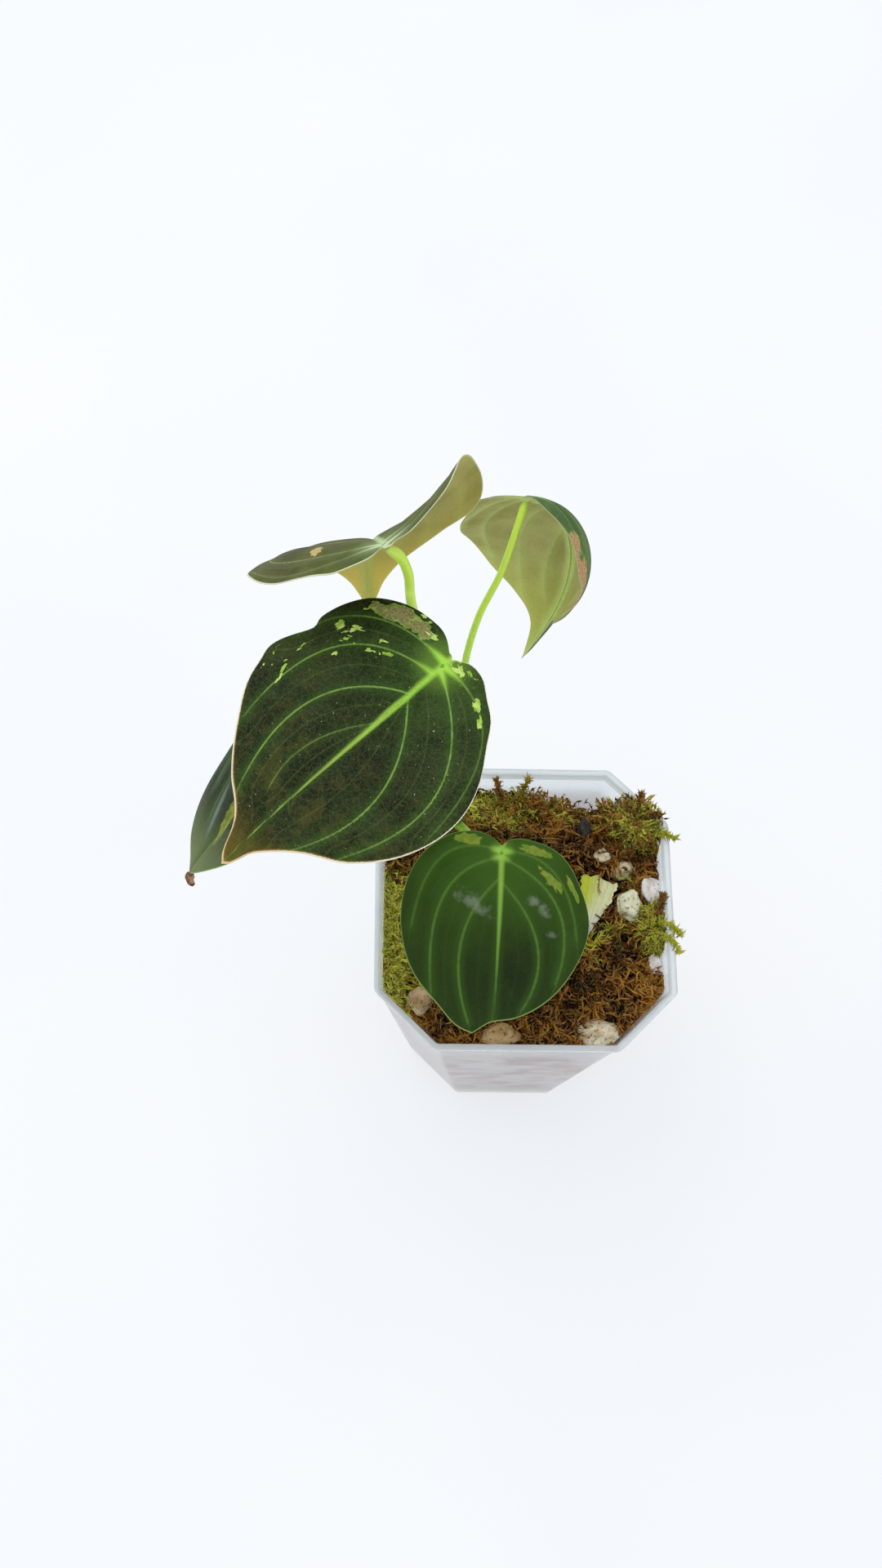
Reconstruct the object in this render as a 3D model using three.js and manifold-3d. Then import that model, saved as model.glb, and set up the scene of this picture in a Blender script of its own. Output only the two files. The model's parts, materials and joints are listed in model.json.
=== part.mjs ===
// A young black gold philodendron with five leaves, in a clear eight-sided nursery pot full of moss.
// Millimetres, +Z up. The origin is the middle of the pot's flat underside, and the front is -Y.
import * as THREE from "three";
import { mergeVertices } from "three/addons/utils/BufferGeometryUtils.js";
import Module from "manifold-3d";

const wasm = await Module();
wasm.setup();

// Gaps and fineness
const gap = 0.3; // left between pieces that touch
const seed = 7; // of every random draw
const leafRays = 36; // round each leaf
const leafRings = 5; // from its base to its edge
const tipCrowding = 1.25; // more than 1 sets the rays closer towards the tip

// Pot: a square with cut corners, wider at the rim. Widths are across the flats.
const pot = {
  height: 90,
  rimWidth: 80,
  rimCut: 15.3,
  footWidth: 56.5,
  footCut: 14.3,
  wall: 0.9,
  floor: 1.2,
  lipHeight: 2.5,
  lipOut: 0.8,
  drainRadius: 2.5,
  drainRing: 17,
  drainCount: 8,
};

// Moss bed: its mean top, its swells, the hollow along the back wall, and the rises (or the pit, where height is
// below zero) along the right and back walls. rings and perFlat split its surface.
const bed = {
  top: 82.5,
  swell: { long: 1.5, middle: 0.9, short: 0.6 },
  hollow: { x: 8, width: 16, start: 20, end: 36, depth: 7 },
  rises: [
    { x: 34, y: 25, width: 8, height: 4 },
    { x: 31, y: -27, width: 9, height: 3 },
    { x: 20, y: 38, width: 7, height: -10 },
  ],
  rings: 8,
  perFlat: 5,
};

// Brown strands that stand out of the bed. area is the square that their roots are drawn from, spread is what
// the draw may add to the shortest length, and sunk is the depth of a root.
const strands = {
  count: 64,
  area: 70,
  length: 5,
  spread: 4,
  rise: { least: 0.35, spread: 0.8 },
  bend: 2.4,
  width: 0.75,
  sunk: 1.2,
};

// Stem: its axis from the buried end to the growing tip, with a radius at each point
const stem = {
  points: [[-19, 25, 58], [-19, 25, 87], [-19.5, 25.5, 100], [-20.5, 26.5, 114], [-21, 27.5, 126],
    [-20, 28, 134], [-19, 28.5, 142]],
  radii: [3.2, 3.2, 3, 2.8, 2.4, 1.6, 0.7],
  hole: 4,
};

// Leaves. base is where the stalk meets the blade. heading is the compass bearing of the tip, with 0 at +Y and
// 90 at +X, pitch its rise above level, and roll drops the right side. arch bends the midrib down, in degrees a
// millimetre at the base and at the tip, and archBack behind the base. fold lifts each half from the midrib, in
// degrees at the base and at the tip, and curl bends it along, in degrees a millimetre. left and right are the
// radii of the outline from the base, at outlineAngles from the tip. stalk is the stalk's axis from the stem.
const outlineAngles = [0, 5, 14, 27, 42, 58, 75, 95, 118, 148, 180];
const leaves = {
  low: {
    base: [-8.5, 2, 123], heading: 189, pitch: -22, roll: -1, twist: 0,
    arch: [0.3, 0.7], archBack: 0.6,
    fold: { left: [9, 6], right: [9, 6] }, curl: { left: [-0.7, -0.5], right: [-0.7, -0.5] },
    left: [48, 44.5, 43, 39.5, 34.5, 29, 21.5, 15, 8, 4, 1.5],
    right: [48, 46.5, 42, 38, 32.5, 27, 21.5, 15, 8.5, 2.5, 1.5],
    stalk: [[-19.2, 25, 88], [-16, 20.5, 92], [-12, 12, 101], [-9.2, 5, 113], [-8.5, 2, 123]],
  },
  front: {
    base: [-26.5, 11, 205], heading: 233, pitch: -8, roll: 6, twist: 0,
    arch: [0.2, 0.8], archBack: 0.9,
    fold: { left: [8, 6], right: [8, 6] }, curl: { left: [-0.6, -0.4], right: [-0.6, -0.4] },
    left: [63.5, 56, 50, 47, 42.5, 35.5, 24.5, 14, 9, 4, 2],
    right: [63.5, 55, 51, 46, 42, 32.5, 26.5, 18, 10, 4, 2],
    stalk: [[-20.2, 26.2, 108], [-20, 22.6, 116], [-20, 20, 140], [-21.2, 16, 172], [-24.5, 12, 195],
      [-26.5, 11, 205]],
  },
  left: {
    base: [-48.5, 18, 175.5], heading: 225, pitch: -22, roll: 24, twist: 0.3,
    arch: [-0.1, 0.4], archBack: 0.4,
    fold: { left: [-1, 7], right: [-4, -1] }, curl: { left: [-0.5, -0.4], right: [-0.4, -0.2] },
    left: [53.5, 51, 46, 37, 34.5, 27.5, 21, 16, 9.5, 4.5, 2],
    right: [53.5, 51.5, 49, 43, 33.5, 26.5, 20.5, 16.5, 9, 5, 2],
    stalk: [[-19.7, 25.8, 99], [-23.2, 25.2, 107], [-30, 24, 135], [-41, 21, 162], [-46, 19.2, 172],
      [-48.5, 18, 175.5]],
  },
  top: {
    base: [-39.5, 30.5, 220.5], heading: 346, pitch: -47, roll: -2, twist: 0.4,
    arch: [0.6, 1.6], archBack: 1,
    fold: { left: [-1, 18], right: [22, 11] }, curl: { left: [-1, -1.7], right: [1.3, -0.1] },
    left: [59, 50.5, 45.5, 41.5, 40.5, 33, 25, 16.5, 11.5, 3, 2],
    right: [59, 49, 42, 39.5, 43, 33.5, 26, 19, 9, 3, 2],
    stalk: [[-20.6, 26.8, 114], [-23.8, 27.2, 122], [-26, 28, 147], [-29, 28.4, 174], [-33.4, 29, 200],
      [-34.4, 29.8, 211], [-36.4, 30.2, 217.2], [-39.5, 30.5, 220.5]],
  },
  back: {
    base: [-7, 60, 194.5], heading: 65, pitch: -35, roll: -23, twist: 0.2,
    arch: [2.1, 2.2], archBack: -0.2,
    fold: { left: [-24, -35], right: [34, -55] }, curl: { left: [-1.3, -0.2], right: [-4.3, -0.9] },
    left: [60, 51.5, 48, 46.5, 41, 32.5, 24.5, 17, 11, 7.5, 2],
    right: [60, 52, 47, 44, 40, 29, 25, 17.5, 11.5, 4, 2],
    stalk: [[-20.9, 27.2, 122], [-20.4, 30.6, 130], [-19.6, 33.5, 148], [-19.2, 36.5, 161.5],
      [-16.7, 42.1, 171.3], [-12.2, 47.4, 182.6], [-9.2, 54, 190.8], [-7, 60, 194.5]],
  },
};
// The midrib stands ribDepth out of the underside at the base, and loses ribTaper of that by the tip
const blade = { thickness: 0.7, ribDepth: 0.9, ribTaper: 0.95 };
const stalkRadii = { foot: 1.6, middle: 1.1, top: 0.95 };
// Sides round each round piece, and steps along it. A stalk has its steps for each of its points.
const sides = { strand: 3, stalk: 6, stem: 10 };
const steps = { strand: 2, stalkPoint: 3, stem: 22, sheath: 10 };

// Living moss in tufts: middle, half widths of the mound, strand count and longest strand
const tuftStrand = { width: 0.7, sunk: 0.9, outermost: 0.8, rise: { least: 0.5, spread: 0.8 } };
const tufts = {
  moss_green_left: { at: [-34.5, -8], half: [3.2, 17, 3.4], count: 30, length: 6 },
  moss_green_back: { at: [-6, 31], half: [6.5, 4.5, 3.2], count: 16, length: 7 },
  moss_green_corner: { at: [32, 25.5], half: [5.5, 4.5, 3.4], count: 22, length: 9 },
  moss_green_right: { at: [35.5, -4.5], half: [2.6, 5, 3.6], count: 16, length: 7 },
};

// Stones and the bark chip lie half sunk in the moss: middle and half sizes. lumpLift is the height of a
// middle over the bed, in half heights.
const lumpLift = 0.35;
const lumps = {
  stone_front: { at: [20.2, -33], half: [6.4, 3.6, 3.6], colour: 0xeee6d2 },
  stone_peach: { at: [-6.7, -33.6], half: [5, 2.8, 3], colour: 0xd9b48c },
  stone_left: { at: [-27.6, -25.2], half: [3, 3.4, 2.6], colour: 0xd8bd98 },
  stone_middle: { at: [28.8, 2.2], half: [3.3, 4.2, 3.2], colour: 0xdfe0c4 },
  stone_right: { at: [35.2, 6.4], half: [3, 4, 3.4], colour: 0xe9e2e0 },
  stone_edge: { at: [35.8, -14], half: [2.8, 3.2, 2.8], colour: 0xe8e0dc },
  stone_far: { at: [22.4, 17], half: [2.3, 2, 2.2], colour: 0xe6dcca },
  stone_back: { at: [27.9, 13.2], half: [3.5, 2.7, 2.6], colour: 0xe8e0cf },
  bark_chip: { at: [17.6, 24.4], half: [1.7, 3.2, 2], colour: 0x3d3733 },
};

// Old leaf sheath lying on the moss: axis and half width at each point. clearing is the round patch of the bed
// that it covers, where no strand stands.
const sheath = {
  clearing: { at: [20, 3.5], radius: 9 },
  points: [[16.8, -6.2, 83.2], [18.2, -0.7, 82.6], [20, 5.3, 83.6], [21.6, 10.8, 84.6]],
  halfWidths: [0.7, 2.6, 4.6, 5],
  thickness: 0.8,
  channel: 1.4,
};

// Random numbers that repeat from a seed
function randomFrom(start) {
  let state = start;
  return () => {
    state = (state + 0x6d2b79f5) | 0;
    let mixed = Math.imul(state ^ (state >>> 15), 1 | state);
    mixed = (mixed + Math.imul(mixed ^ (mixed >>> 7), 61 | mixed)) ^ mixed;
    return ((mixed ^ (mixed >>> 14)) >>> 0) / 4294967296;
  };
}

const degrees = Math.PI / 180;
const clamp = THREE.MathUtils.clamp;
const mix = THREE.MathUtils.lerp;
const smooth = (x, low, high) => THREE.MathUtils.smoothstep(x, low, high);

// Solids from closed geometries and back
function solid(geometry) {
  const bare = new THREE.BufferGeometry();
  bare.setAttribute("position", geometry.getAttribute("position").clone());
  bare.setIndex(geometry.getIndex() && geometry.getIndex().clone());
  const merged = mergeVertices(bare, 1e-5);
  return new wasm.Manifold(new wasm.Mesh({
    numProp: 3,
    vertProperties: new Float32Array(merged.getAttribute("position").array),
    triVerts: new Uint32Array(merged.getIndex().array),
  }));
}

function geometryOf(manifold) {
  const mesh = manifold.getMesh();
  const geometry = new THREE.BufferGeometry();
  geometry.setAttribute("position", new THREE.BufferAttribute(new Float32Array(mesh.vertProperties), 3));
  geometry.setIndex(new THREE.BufferAttribute(new Uint32Array(mesh.triVerts), 1));
  geometry.computeVertexNormals();
  return geometry;
}

// The largest body of a solid, so that loose scraps are dropped
function largest(manifold) {
  const bodies = manifold.decompose();
  return bodies.sort((a, b) => b.volume() - a.volume())[0];
}

// A closed geometry through rings of points. Rings turn anticlockwise as seen from ahead.
function loft(rings) {
  const count = rings[0].length;
  const points = rings.flat();
  const faces = [];
  for (let ring = 0; ring + 1 < rings.length; ring += 1) {
    for (let k = 0; k < count; k += 1) {
      const next = (k + 1) % count;
      const [a, b] = [ring * count + k, ring * count + next];
      faces.push(a, b, b + count, a, b + count, a + count);
    }
  }
  const last = (rings.length - 1) * count;
  for (let k = 1; k + 1 < count; k += 1) {
    faces.push(0, k + 1, k, last, last + k, last + k + 1);
  }
  const geometry = new THREE.BufferGeometry();
  geometry.setAttribute("position", new THREE.Float32BufferAttribute(points.flat(), 3));
  geometry.setIndex(faces);
  return geometry;
}

// A round bar along a smooth curve, with a radius at each of its points
function bar(points, radii, around, lengths) {
  const curve = new THREE.CatmullRomCurve3(points.map((p) => new THREE.Vector3(...p)));
  const frames = curve.computeFrenetFrames(lengths, false);
  const rings = [];
  for (let step = 0; step <= lengths; step += 1) {
    const along = step / lengths;
    const centre = curve.getPointAt(along);
    const place = along * (radii.length - 1);
    const index = Math.min(Math.floor(place), radii.length - 2);
    const radius = mix(radii[index], radii[index + 1], place - index);
    rings.push(Array.from({ length: around }, (_, k) => {
      const turn = (k / around) * 2 * Math.PI;
      return centre.clone()
        .addScaledVector(frames.normals[step], radius * Math.cos(turn))
        .addScaledVector(frames.binormals[step], radius * Math.sin(turn))
        .toArray();
    }));
  }
  return loft(rings);
}

// A square with cut corners at a height
function octagon(width, cut, z) {
  const [h, k] = [width / 2, width / 2 - cut];
  return [[k, -h, z], [h, -k, z], [h, k, z], [k, h, z], [-k, h, z], [-h, k, z], [-h, -k, z], [-k, -h, z]];
}

// The pot's section at a height, moved out by an offset square to its walls
function potSection(z, out) {
  const share = z / pot.height;
  const width = mix(pot.footWidth, pot.rimWidth - 2 * pot.lipOut, share) + 2 * out;
  const cut = mix(pot.footCut, pot.rimCut, share) + out * (2 - Math.SQRT2);
  return octagon(width, cut, z);
}

// The clear pot, with a lip and drain holes. Grown by an offset, it cuts room for itself in other pieces.
function potSolid(grow = 0) {
  const lip = pot.height - pot.lipHeight;
  const shell = solid(loft([
    potSection(-grow, grow),
    potSection(lip - grow, grow),
    potSection(lip - grow, pot.lipOut + grow),
    potSection(pot.height + grow, pot.lipOut + grow),
    potSection(pot.height + grow, -pot.wall - grow),
    potSection(pot.floor + grow, -pot.wall - grow),
  ]));
  if (grow > 0) return shell;
  let drained = shell;
  for (let k = 0; k < pot.drainCount; k += 1) {
    const turn = ((k + 0.5) / pot.drainCount) * 2 * Math.PI;
    const hole = new THREE.CylinderGeometry(pot.drainRadius, pot.drainRadius, pot.floor * 4, 8);
    hole.rotateX(Math.PI / 2);
    hole.translate(pot.drainRing * Math.cos(turn), pot.drainRing * Math.sin(turn), pot.floor / 2);
    drained = drained.subtract(solid(hole));
  }
  return drained;
}

// Height of the moss bed's top, with swells about 27, 10 and 9 mm long
function bedHeight(x, y) {
  const { hollow, rises } = bed;
  const across = Math.exp(-(((x - hollow.x) / hollow.width) ** 2));
  const risen = (sum, { x: a, y: b, width, height }) =>
    sum + height * Math.exp(-((x - a) ** 2 + (y - b) ** 2) / width ** 2);
  const bumps = bed.swell.long * Math.sin(0.23 * x + 0.5) * Math.cos(0.19 * y - 0.4)
    + bed.swell.middle * Math.sin(0.51 * x - 0.37 * y + 1) + bed.swell.short * Math.sin(0.33 * x + 0.62 * y);
  const sunk = hollow.depth * across * smooth(y, hollow.start, hollow.end);
  return rises.reduce(risen, bed.top + bumps - sunk);
}

// The moss bed as it fills the pot, without strands. Raised, it cuts the underside of what lies on it.
function bedSolid(raise = 0) {
  const inset = -pot.wall - gap + raise;
  const edge = (z) => {
    const corners = potSection(z, inset);
    return corners.flatMap((corner, k) => {
      const next = corners[(k + 1) % corners.length];
      return Array.from({ length: bed.perFlat }, (_, i) => {
        const t = i / bed.perFlat;
        return [mix(corner[0], next[0], t), mix(corner[1], next[1], t), z];
      });
    });
  };
  const brim = edge(bed.top);
  const rings = [edge(pot.floor + gap), edge(pot.height * 0.5)];
  for (let ring = 0; ring < bed.rings; ring += 1) {
    const share = 1 - ring / bed.rings;
    rings.push(brim.map(([x, y]) => [x * share, y * share, bedHeight(x * share, y * share) + raise]));
  }
  return solid(loft(rings));
}

// Everything inside the pot's walls and above its floor, up past the rim
function potInside() {
  return solid(loft([
    potSection(pot.floor + gap, -pot.wall - gap),
    potSection(pot.height * 1.3, -pot.wall - gap),
  ]));
}

// A curved, tapering, three-sided moss strand that rises from a root and droops towards its tip
function strand(root, azimuth, rise, length, width, bend) {
  const droop = 0.9;
  const points = [0, 0.5, 1].map((t) => {
    const turned = azimuth + bend * t;
    const lift = rise - droop * t * t;
    return [
      root[0] + length * t * Math.cos(turned) * Math.cos(lift),
      root[1] + length * t * Math.sin(turned) * Math.cos(lift),
      root[2] + length * t * Math.sin(rise) * (1 - 0.4 * droop * t),
    ];
  });
  return solid(bar(points, [width, width * 0.8, width * 0.3], sides.strand, steps.strand));
}

// The brown moss with its strands and the hole that the stem stands in
function mossSolid(random) {
  const round = (at, radius) => ({ at, half: [radius, radius] });
  const reach = ({ at, half, length }) => ({ at, half: half.map((h) => h + length) });
  const [stemX, stemY, stemFoot] = stem.points[0];
  const avoided = [
    ...Object.values(lumps),
    ...Object.values(tufts).map(reach),
    round([stemX, stemY], stem.hole),
    round(sheath.clearing.at, sheath.clearing.radius),
  ];
  const standing = [];
  while (standing.length < strands.count) {
    const x = (random() - 0.5) * strands.area;
    const y = (random() - 0.5) * strands.area;
    const azimuth = random() * 2 * Math.PI;
    const rise = strands.rise.least + random() * strands.rise.spread;
    const length = strands.length + random() * strands.spread;
    const bend = (random() - 0.5) * strands.bend;
    const clear = avoided.every(({ at, half }) => {
      const [dx, dy] = [(x - at[0]) / (half[0] + length), (y - at[1]) / (half[1] + length)];
      return dx * dx + dy * dy > 1;
    });
    const root = [x, y, bedHeight(x, y) - strands.sunk];
    if (clear) standing.push(strand(root, azimuth, rise, length, strands.width, bend));
  }
  const moss = wasm.Manifold.union([bedSolid(), ...standing]).intersect(potInside());
  const depth = pot.height;
  const hole = new THREE.CylinderGeometry(stem.hole, stem.hole, depth, 10);
  hole.rotateX(Math.PI / 2);
  hole.translate(stemX, stemY, stemFoot - 2 * gap + depth / 2);
  return largest(moss.subtract(solid(hole)));
}

// A mound of living moss with its strands, lying on the bed and clear of the pot and the stem
function tuftSolid({ at, half, count, length }, random, cutters) {
  const mound = new THREE.IcosahedronGeometry(1, 1);
  const position = mound.getAttribute("position");
  const height = bedHeight(...at);
  const unevenness = 0.13;
  for (let k = 0; k < position.count; k += 1) {
    const [x, y, z] = [position.getX(k), position.getY(k), position.getZ(k)];
    const lump = 1 + unevenness * Math.sin(5 * x + 2 * z) * Math.cos(4 * y - z);
    position.setXYZ(k, at[0] + x * half[0] * lump, at[1] + y * half[1] * lump, height + z * half[2] * lump);
  }
  const { width, sunk, outermost, rise } = tuftStrand;
  const parts = [solid(mound)];
  for (let k = 0; k < count; k += 1) {
    const around = random() * 2 * Math.PI;
    const out = Math.sqrt(random()) * outermost;
    const root = [
      at[0] + half[0] * out * Math.cos(around),
      at[1] + half[1] * out * Math.sin(around),
      height + half[2] * Math.sqrt(1 - out * out) - sunk,
    ];
    const lift = rise.least + random() * rise.spread;
    const azimuth = around + random() - 0.5;
    const reach = length * mix(0.6, 1, random());
    parts.push(strand(root, azimuth, lift, reach, width, random() - 0.5));
  }
  return largest(cutters.reduce((left, cutter) => left.subtract(cutter), wasm.Manifold.union(parts)));
}

// A rough lump, half sunk in the moss. Its index in the list gives it a shape of its own.
function lumpSolid({ at, half }, index, raisedBed, grow = 0) {
  const shape = new THREE.IcosahedronGeometry(1, 1);
  const position = shape.getAttribute("position");
  const height = bedHeight(...at) + half[2] * lumpLift;
  const [coarse, fine] = [0.14, 0.08];
  for (let k = 0; k < position.count; k += 1) {
    const [x, y, z] = [position.getX(k), position.getY(k), position.getZ(k)];
    const rough = 1 + coarse * Math.sin(4 * x + index) * Math.cos(3 * y - 2 * index)
      + fine * Math.sin(7 * z + index);
    const [a, b, c] = half.map((h) => h * rough + grow);
    position.setXYZ(k, at[0] + x * a, at[1] + y * b, height + z * c);
  }
  return solid(shape).subtract(raisedBed);
}

// Radius of a leaf's outline at an angle from its tip, on a smooth curve through the given radii
function outlineRadius(radii, angle) {
  const angles = outlineAngles;
  const last = angles.length - 1;
  let i = 0;
  while (i < last - 1 && angle > angles[i + 1]) i += 1;
  const span = angles[i + 1] - angles[i];
  const slope = (k) => {
    if (k === 0) return (radii[1] - radii[0]) / (angles[1] - angles[0]);
    if (k === last) return (radii[last] - radii[last - 1]) / (angles[last] - angles[last - 1]);
    return (radii[k + 1] - radii[k - 1]) / (angles[k + 1] - angles[k - 1]);
  };
  const t = (angle - angles[i]) / span;
  const [t2, t3] = [t * t, t * t * t];
  return (2 * t3 - 3 * t2 + 1) * radii[i] + (t3 - 2 * t2 + t) * span * slope(i)
    + (3 * t2 - 2 * t3) * radii[i + 1] + (t3 - t2) * span * slope(i + 1);
}

// A leaf's own axes: x to its right, y to its tip and z out of its upper side
function leafAxes({ heading, pitch, roll }) {
  const [h, p, r] = [heading * degrees, pitch * degrees, roll * degrees];
  const along = new THREE.Vector3(Math.sin(h) * Math.cos(p), Math.cos(h) * Math.cos(p), Math.sin(p));
  const level = new THREE.Vector3(Math.cos(h), -Math.sin(h), 0);
  const across = level.clone().multiplyScalar(Math.cos(r))
    .addScaledVector(level.clone().cross(along), -Math.sin(r));
  return [across, along, across.clone().cross(along)];
}

// Mean of a function of t over 0 to 1, for the arcs of a bent blade
function meanOf(f) {
  const samples = 24;
  let sum = 0;
  for (let k = 0; k < samples; k += 1) sum += f((k + 0.5) / samples);
  return sum / samples;
}

// The place on a bent blade of the flat point x to the right and y towards the tip from its base
function bladePoint(leaf, x, y) {
  const length = leaf.left[0];
  const pitchAt = (s) => degrees * (s < 0 ? leaf.archBack * s
    : leaf.arch[0] * s + ((leaf.arch[1] - leaf.arch[0]) * s * s) / (2 * length));
  const side = x < 0 ? "left" : "right";
  const toTip = clamp(y / length, 0, 1);
  const fold = degrees * mix(...leaf.fold[side], toTip);
  const curl = degrees * mix(...leaf.curl[side], toTip);
  const reach = Math.abs(x);
  const out = reach * meanOf((t) => Math.cos(fold + curl * reach * t)) * Math.sign(x);
  const up = reach * meanOf((t) => Math.sin(fold + curl * reach * t));
  const twist = leaf.twist * y * degrees;
  const right = out * Math.cos(twist) + up * Math.sin(twist);
  const lift = up * Math.cos(twist) - out * Math.sin(twist);
  const bend = pitchAt(y);
  const ahead = y * meanOf((t) => Math.cos(pitchAt(y * t))) + lift * Math.sin(bend);
  const above = -y * meanOf((t) => Math.sin(pitchAt(y * t))) + lift * Math.cos(bend);
  const [across, along, normal] = leafAxes(leaf);
  return new THREE.Vector3(...leaf.base).addScaledVector(across, right)
    .addScaledVector(along, ahead).addScaledVector(normal, above);
}

// The direction out of a blade's upper side
function bladeNormal(leaf, x, y) {
  const step = 0.2;
  const acrossStep = bladePoint(leaf, x + step, y).sub(bladePoint(leaf, x - step, y));
  const alongStep = bladePoint(leaf, x, y + step).sub(bladePoint(leaf, x, y - step));
  return acrossStep.cross(alongStep).normalize();
}

// A leaf blade with its midrib standing out below. Both faces are split alike.
function bladeSolid(leaf, grow = 0) {
  const length = leaf.left[0];
  const points = [];
  const addPair = (x, y, rib) => {
    const middle = bladePoint(leaf, x, y);
    const normal = bladeNormal(leaf, x, y);
    const half = blade.thickness / 2 + grow;
    points.push(middle.clone().addScaledVector(normal, half).toArray());
    points.push(middle.clone().addScaledVector(normal, -half - rib).toArray());
  };
  addPair(0, 0, blade.ribDepth);
  for (let ring = 1; ring <= leafRings; ring += 1) {
    for (let ray = 0; ray < leafRays; ray += 1) {
      const turn = (2 * ray) / leafRays - 1;
      const angle = 180 * Math.abs(turn) ** tipCrowding;
      const radii = turn < 0 ? leaf.left : leaf.right;
      const radius = (outlineRadius(radii, angle) + grow) * (ring / leafRings);
      const toSide = Math.sin(angle * degrees) * radius * (turn < 0 ? -1 : 1);
      const toTip = Math.cos(angle * degrees) * radius;
      const rib = turn === 0 ? blade.ribDepth * (1 - (blade.ribTaper * toTip) / length) : 0;
      addPair(ray === 0 ? 0 : toSide, toTip, rib);
    }
  }
  const pairAt = (ring, ray) => 2 * (1 + (ring - 1) * leafRays + (ray % leafRays));
  const faces = [];
  const addBoth = (a, b, c) => faces.push(a, b, c, a + 1, c + 1, b + 1);
  for (let ray = 0; ray < leafRays; ray += 1) {
    addBoth(0, pairAt(1, ray + 1), pairAt(1, ray));
    for (let ring = 1; ring < leafRings; ring += 1) {
      const [a, b] = [pairAt(ring, ray), pairAt(ring, ray + 1)];
      const [c, d] = [pairAt(ring + 1, ray + 1), pairAt(ring + 1, ray)];
      addBoth(a, b, c);
      addBoth(a, c, d);
    }
    const [near, far] = [pairAt(leafRings, ray), pairAt(leafRings, ray + 1)];
    faces.push(near, far, far + 1, near, far + 1, near + 1);
  }
  const geometry = new THREE.BufferGeometry();
  geometry.setAttribute("position", new THREE.Float32BufferAttribute(points.flat(), 3));
  geometry.setIndex(faces);
  return solid(geometry);
}

// A leaf's stalk from the stem to its blade, clear of both
function stalkSolid(leaf, stemGrown) {
  const { foot, middle, top } = stalkRadii;
  const radii = [foot, middle, middle, top, top];
  const whole = solid(bar(leaf.stalk, radii, sides.stalk, steps.stalkPoint * leaf.stalk.length));
  return largest(whole.subtract(stemGrown).subtract(bladeSolid(leaf, gap)));
}

// The stem, from its buried end to its growing tip
function stemSolid(grow = 0) {
  return solid(bar(stem.points, stem.radii.map((r) => r + grow), sides.stem, steps.stem));
}

// The old sheath: a thin channelled strip along a curve
function sheathSolid(raisedBed) {
  const { points, halfWidths, thickness, channel } = sheath;
  const curve = new THREE.CatmullRomCurve3(points.map((p) => new THREE.Vector3(...p)));
  const widest = Math.max(...halfWidths);
  const rings = Array.from({ length: steps.sheath + 1 }, (_, step) => {
    const along = step / steps.sheath;
    const centre = curve.getPointAt(along);
    const tangent = curve.getTangentAt(along);
    const side = new THREE.Vector3(0, 0, 1).cross(tangent).normalize();
    const up = tangent.clone().cross(side);
    const place = along * (halfWidths.length - 1);
    const index = Math.min(Math.floor(place), halfWidths.length - 2);
    const half = mix(halfWidths[index], halfWidths[index + 1], place - index);
    const dip = channel * (half / widest) ** 2;
    const corner = (x, top) => centre.clone().addScaledVector(side, x * half)
      .addScaledVector(up, -dip * (1 - x * x) + top * thickness).toArray();
    const places = [-1, -0.4, 0.4, 1];
    return [...places.map((x) => corner(x, 0)), ...places.reverse().map((x) => corner(x, 1))];
  });
  return largest(solid(loft(rings)).subtract(raisedBed));
}

// Looks of the pieces
const looks = {
  pot: { color: 0xdde4ee, roughness: 0.35, metalness: 0 },
  moss: { color: 0x6b3f14, roughness: 1, metalness: 0 },
  green: { color: 0x8f9a22, roughness: 1, metalness: 0 },
  stem: { color: 0x5f7a2c, roughness: 0.6, metalness: 0 },
  stalk: { color: 0x8cc63f, roughness: 0.5, metalness: 0 },
  dark: { color: 0x1d2f16, roughness: 0.55, metalness: 0 },
  fresh: { color: 0x2f5426, roughness: 0.4, metalness: 0 },
  olive: { color: 0x6d7444, roughness: 0.55, metalness: 0 },
  sheath: { color: 0xdfe58a, roughness: 0.6, metalness: 0 },
};
const leafLooks = {
  low: looks.fresh,
  front: looks.dark,
  left: looks.dark,
  top: looks.olive,
  back: looks.olive,
};

const group = new THREE.Group();
group.name = "potted_philodendron";

function addPiece(name, manifold, look) {
  const mesh = new THREE.Mesh(geometryOf(manifold), new THREE.MeshStandardMaterial(look));
  mesh.name = name;
  group.add(mesh);
}

// Assembly
const random = randomFrom(seed);
const potGrown = potSolid(gap);
const stemGrown = stemSolid(gap);
const raisedBed = bedSolid(gap);

const lumpList = Object.values(lumps);
const lumpsGrown = wasm.Manifold.union(lumpList.map((lump, index) => lumpSolid(lump, index, raisedBed, gap)));
const tuftCutters = [raisedBed, potGrown, stemGrown, lumpsGrown];

addPiece("pot", potSolid(), looks.pot);
addPiece("moss", mossSolid(random), looks.moss);
for (const [name, tuft] of Object.entries(tufts)) {
  addPiece(name, tuftSolid(tuft, random, tuftCutters), looks.green);
}
Object.entries(lumps).forEach(([name, lump], index) => {
  const piece = largest(lumpSolid(lump, index, raisedBed).intersect(potInside()));
  addPiece(name, piece, { color: lump.colour, roughness: 0.95, metalness: 0 });
});
addPiece("old_sheath", sheathSolid(raisedBed), looks.sheath);
addPiece("stem", stemSolid(), looks.stem);
for (const [name, leaf] of Object.entries(leaves)) {
  addPiece(`stalk_${name}`, stalkSolid(leaf, stemGrown), looks.stalk);
  addPiece(`leaf_${name}`, bladeSolid(leaf), leafLooks[name]);
}

export default group;
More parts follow.
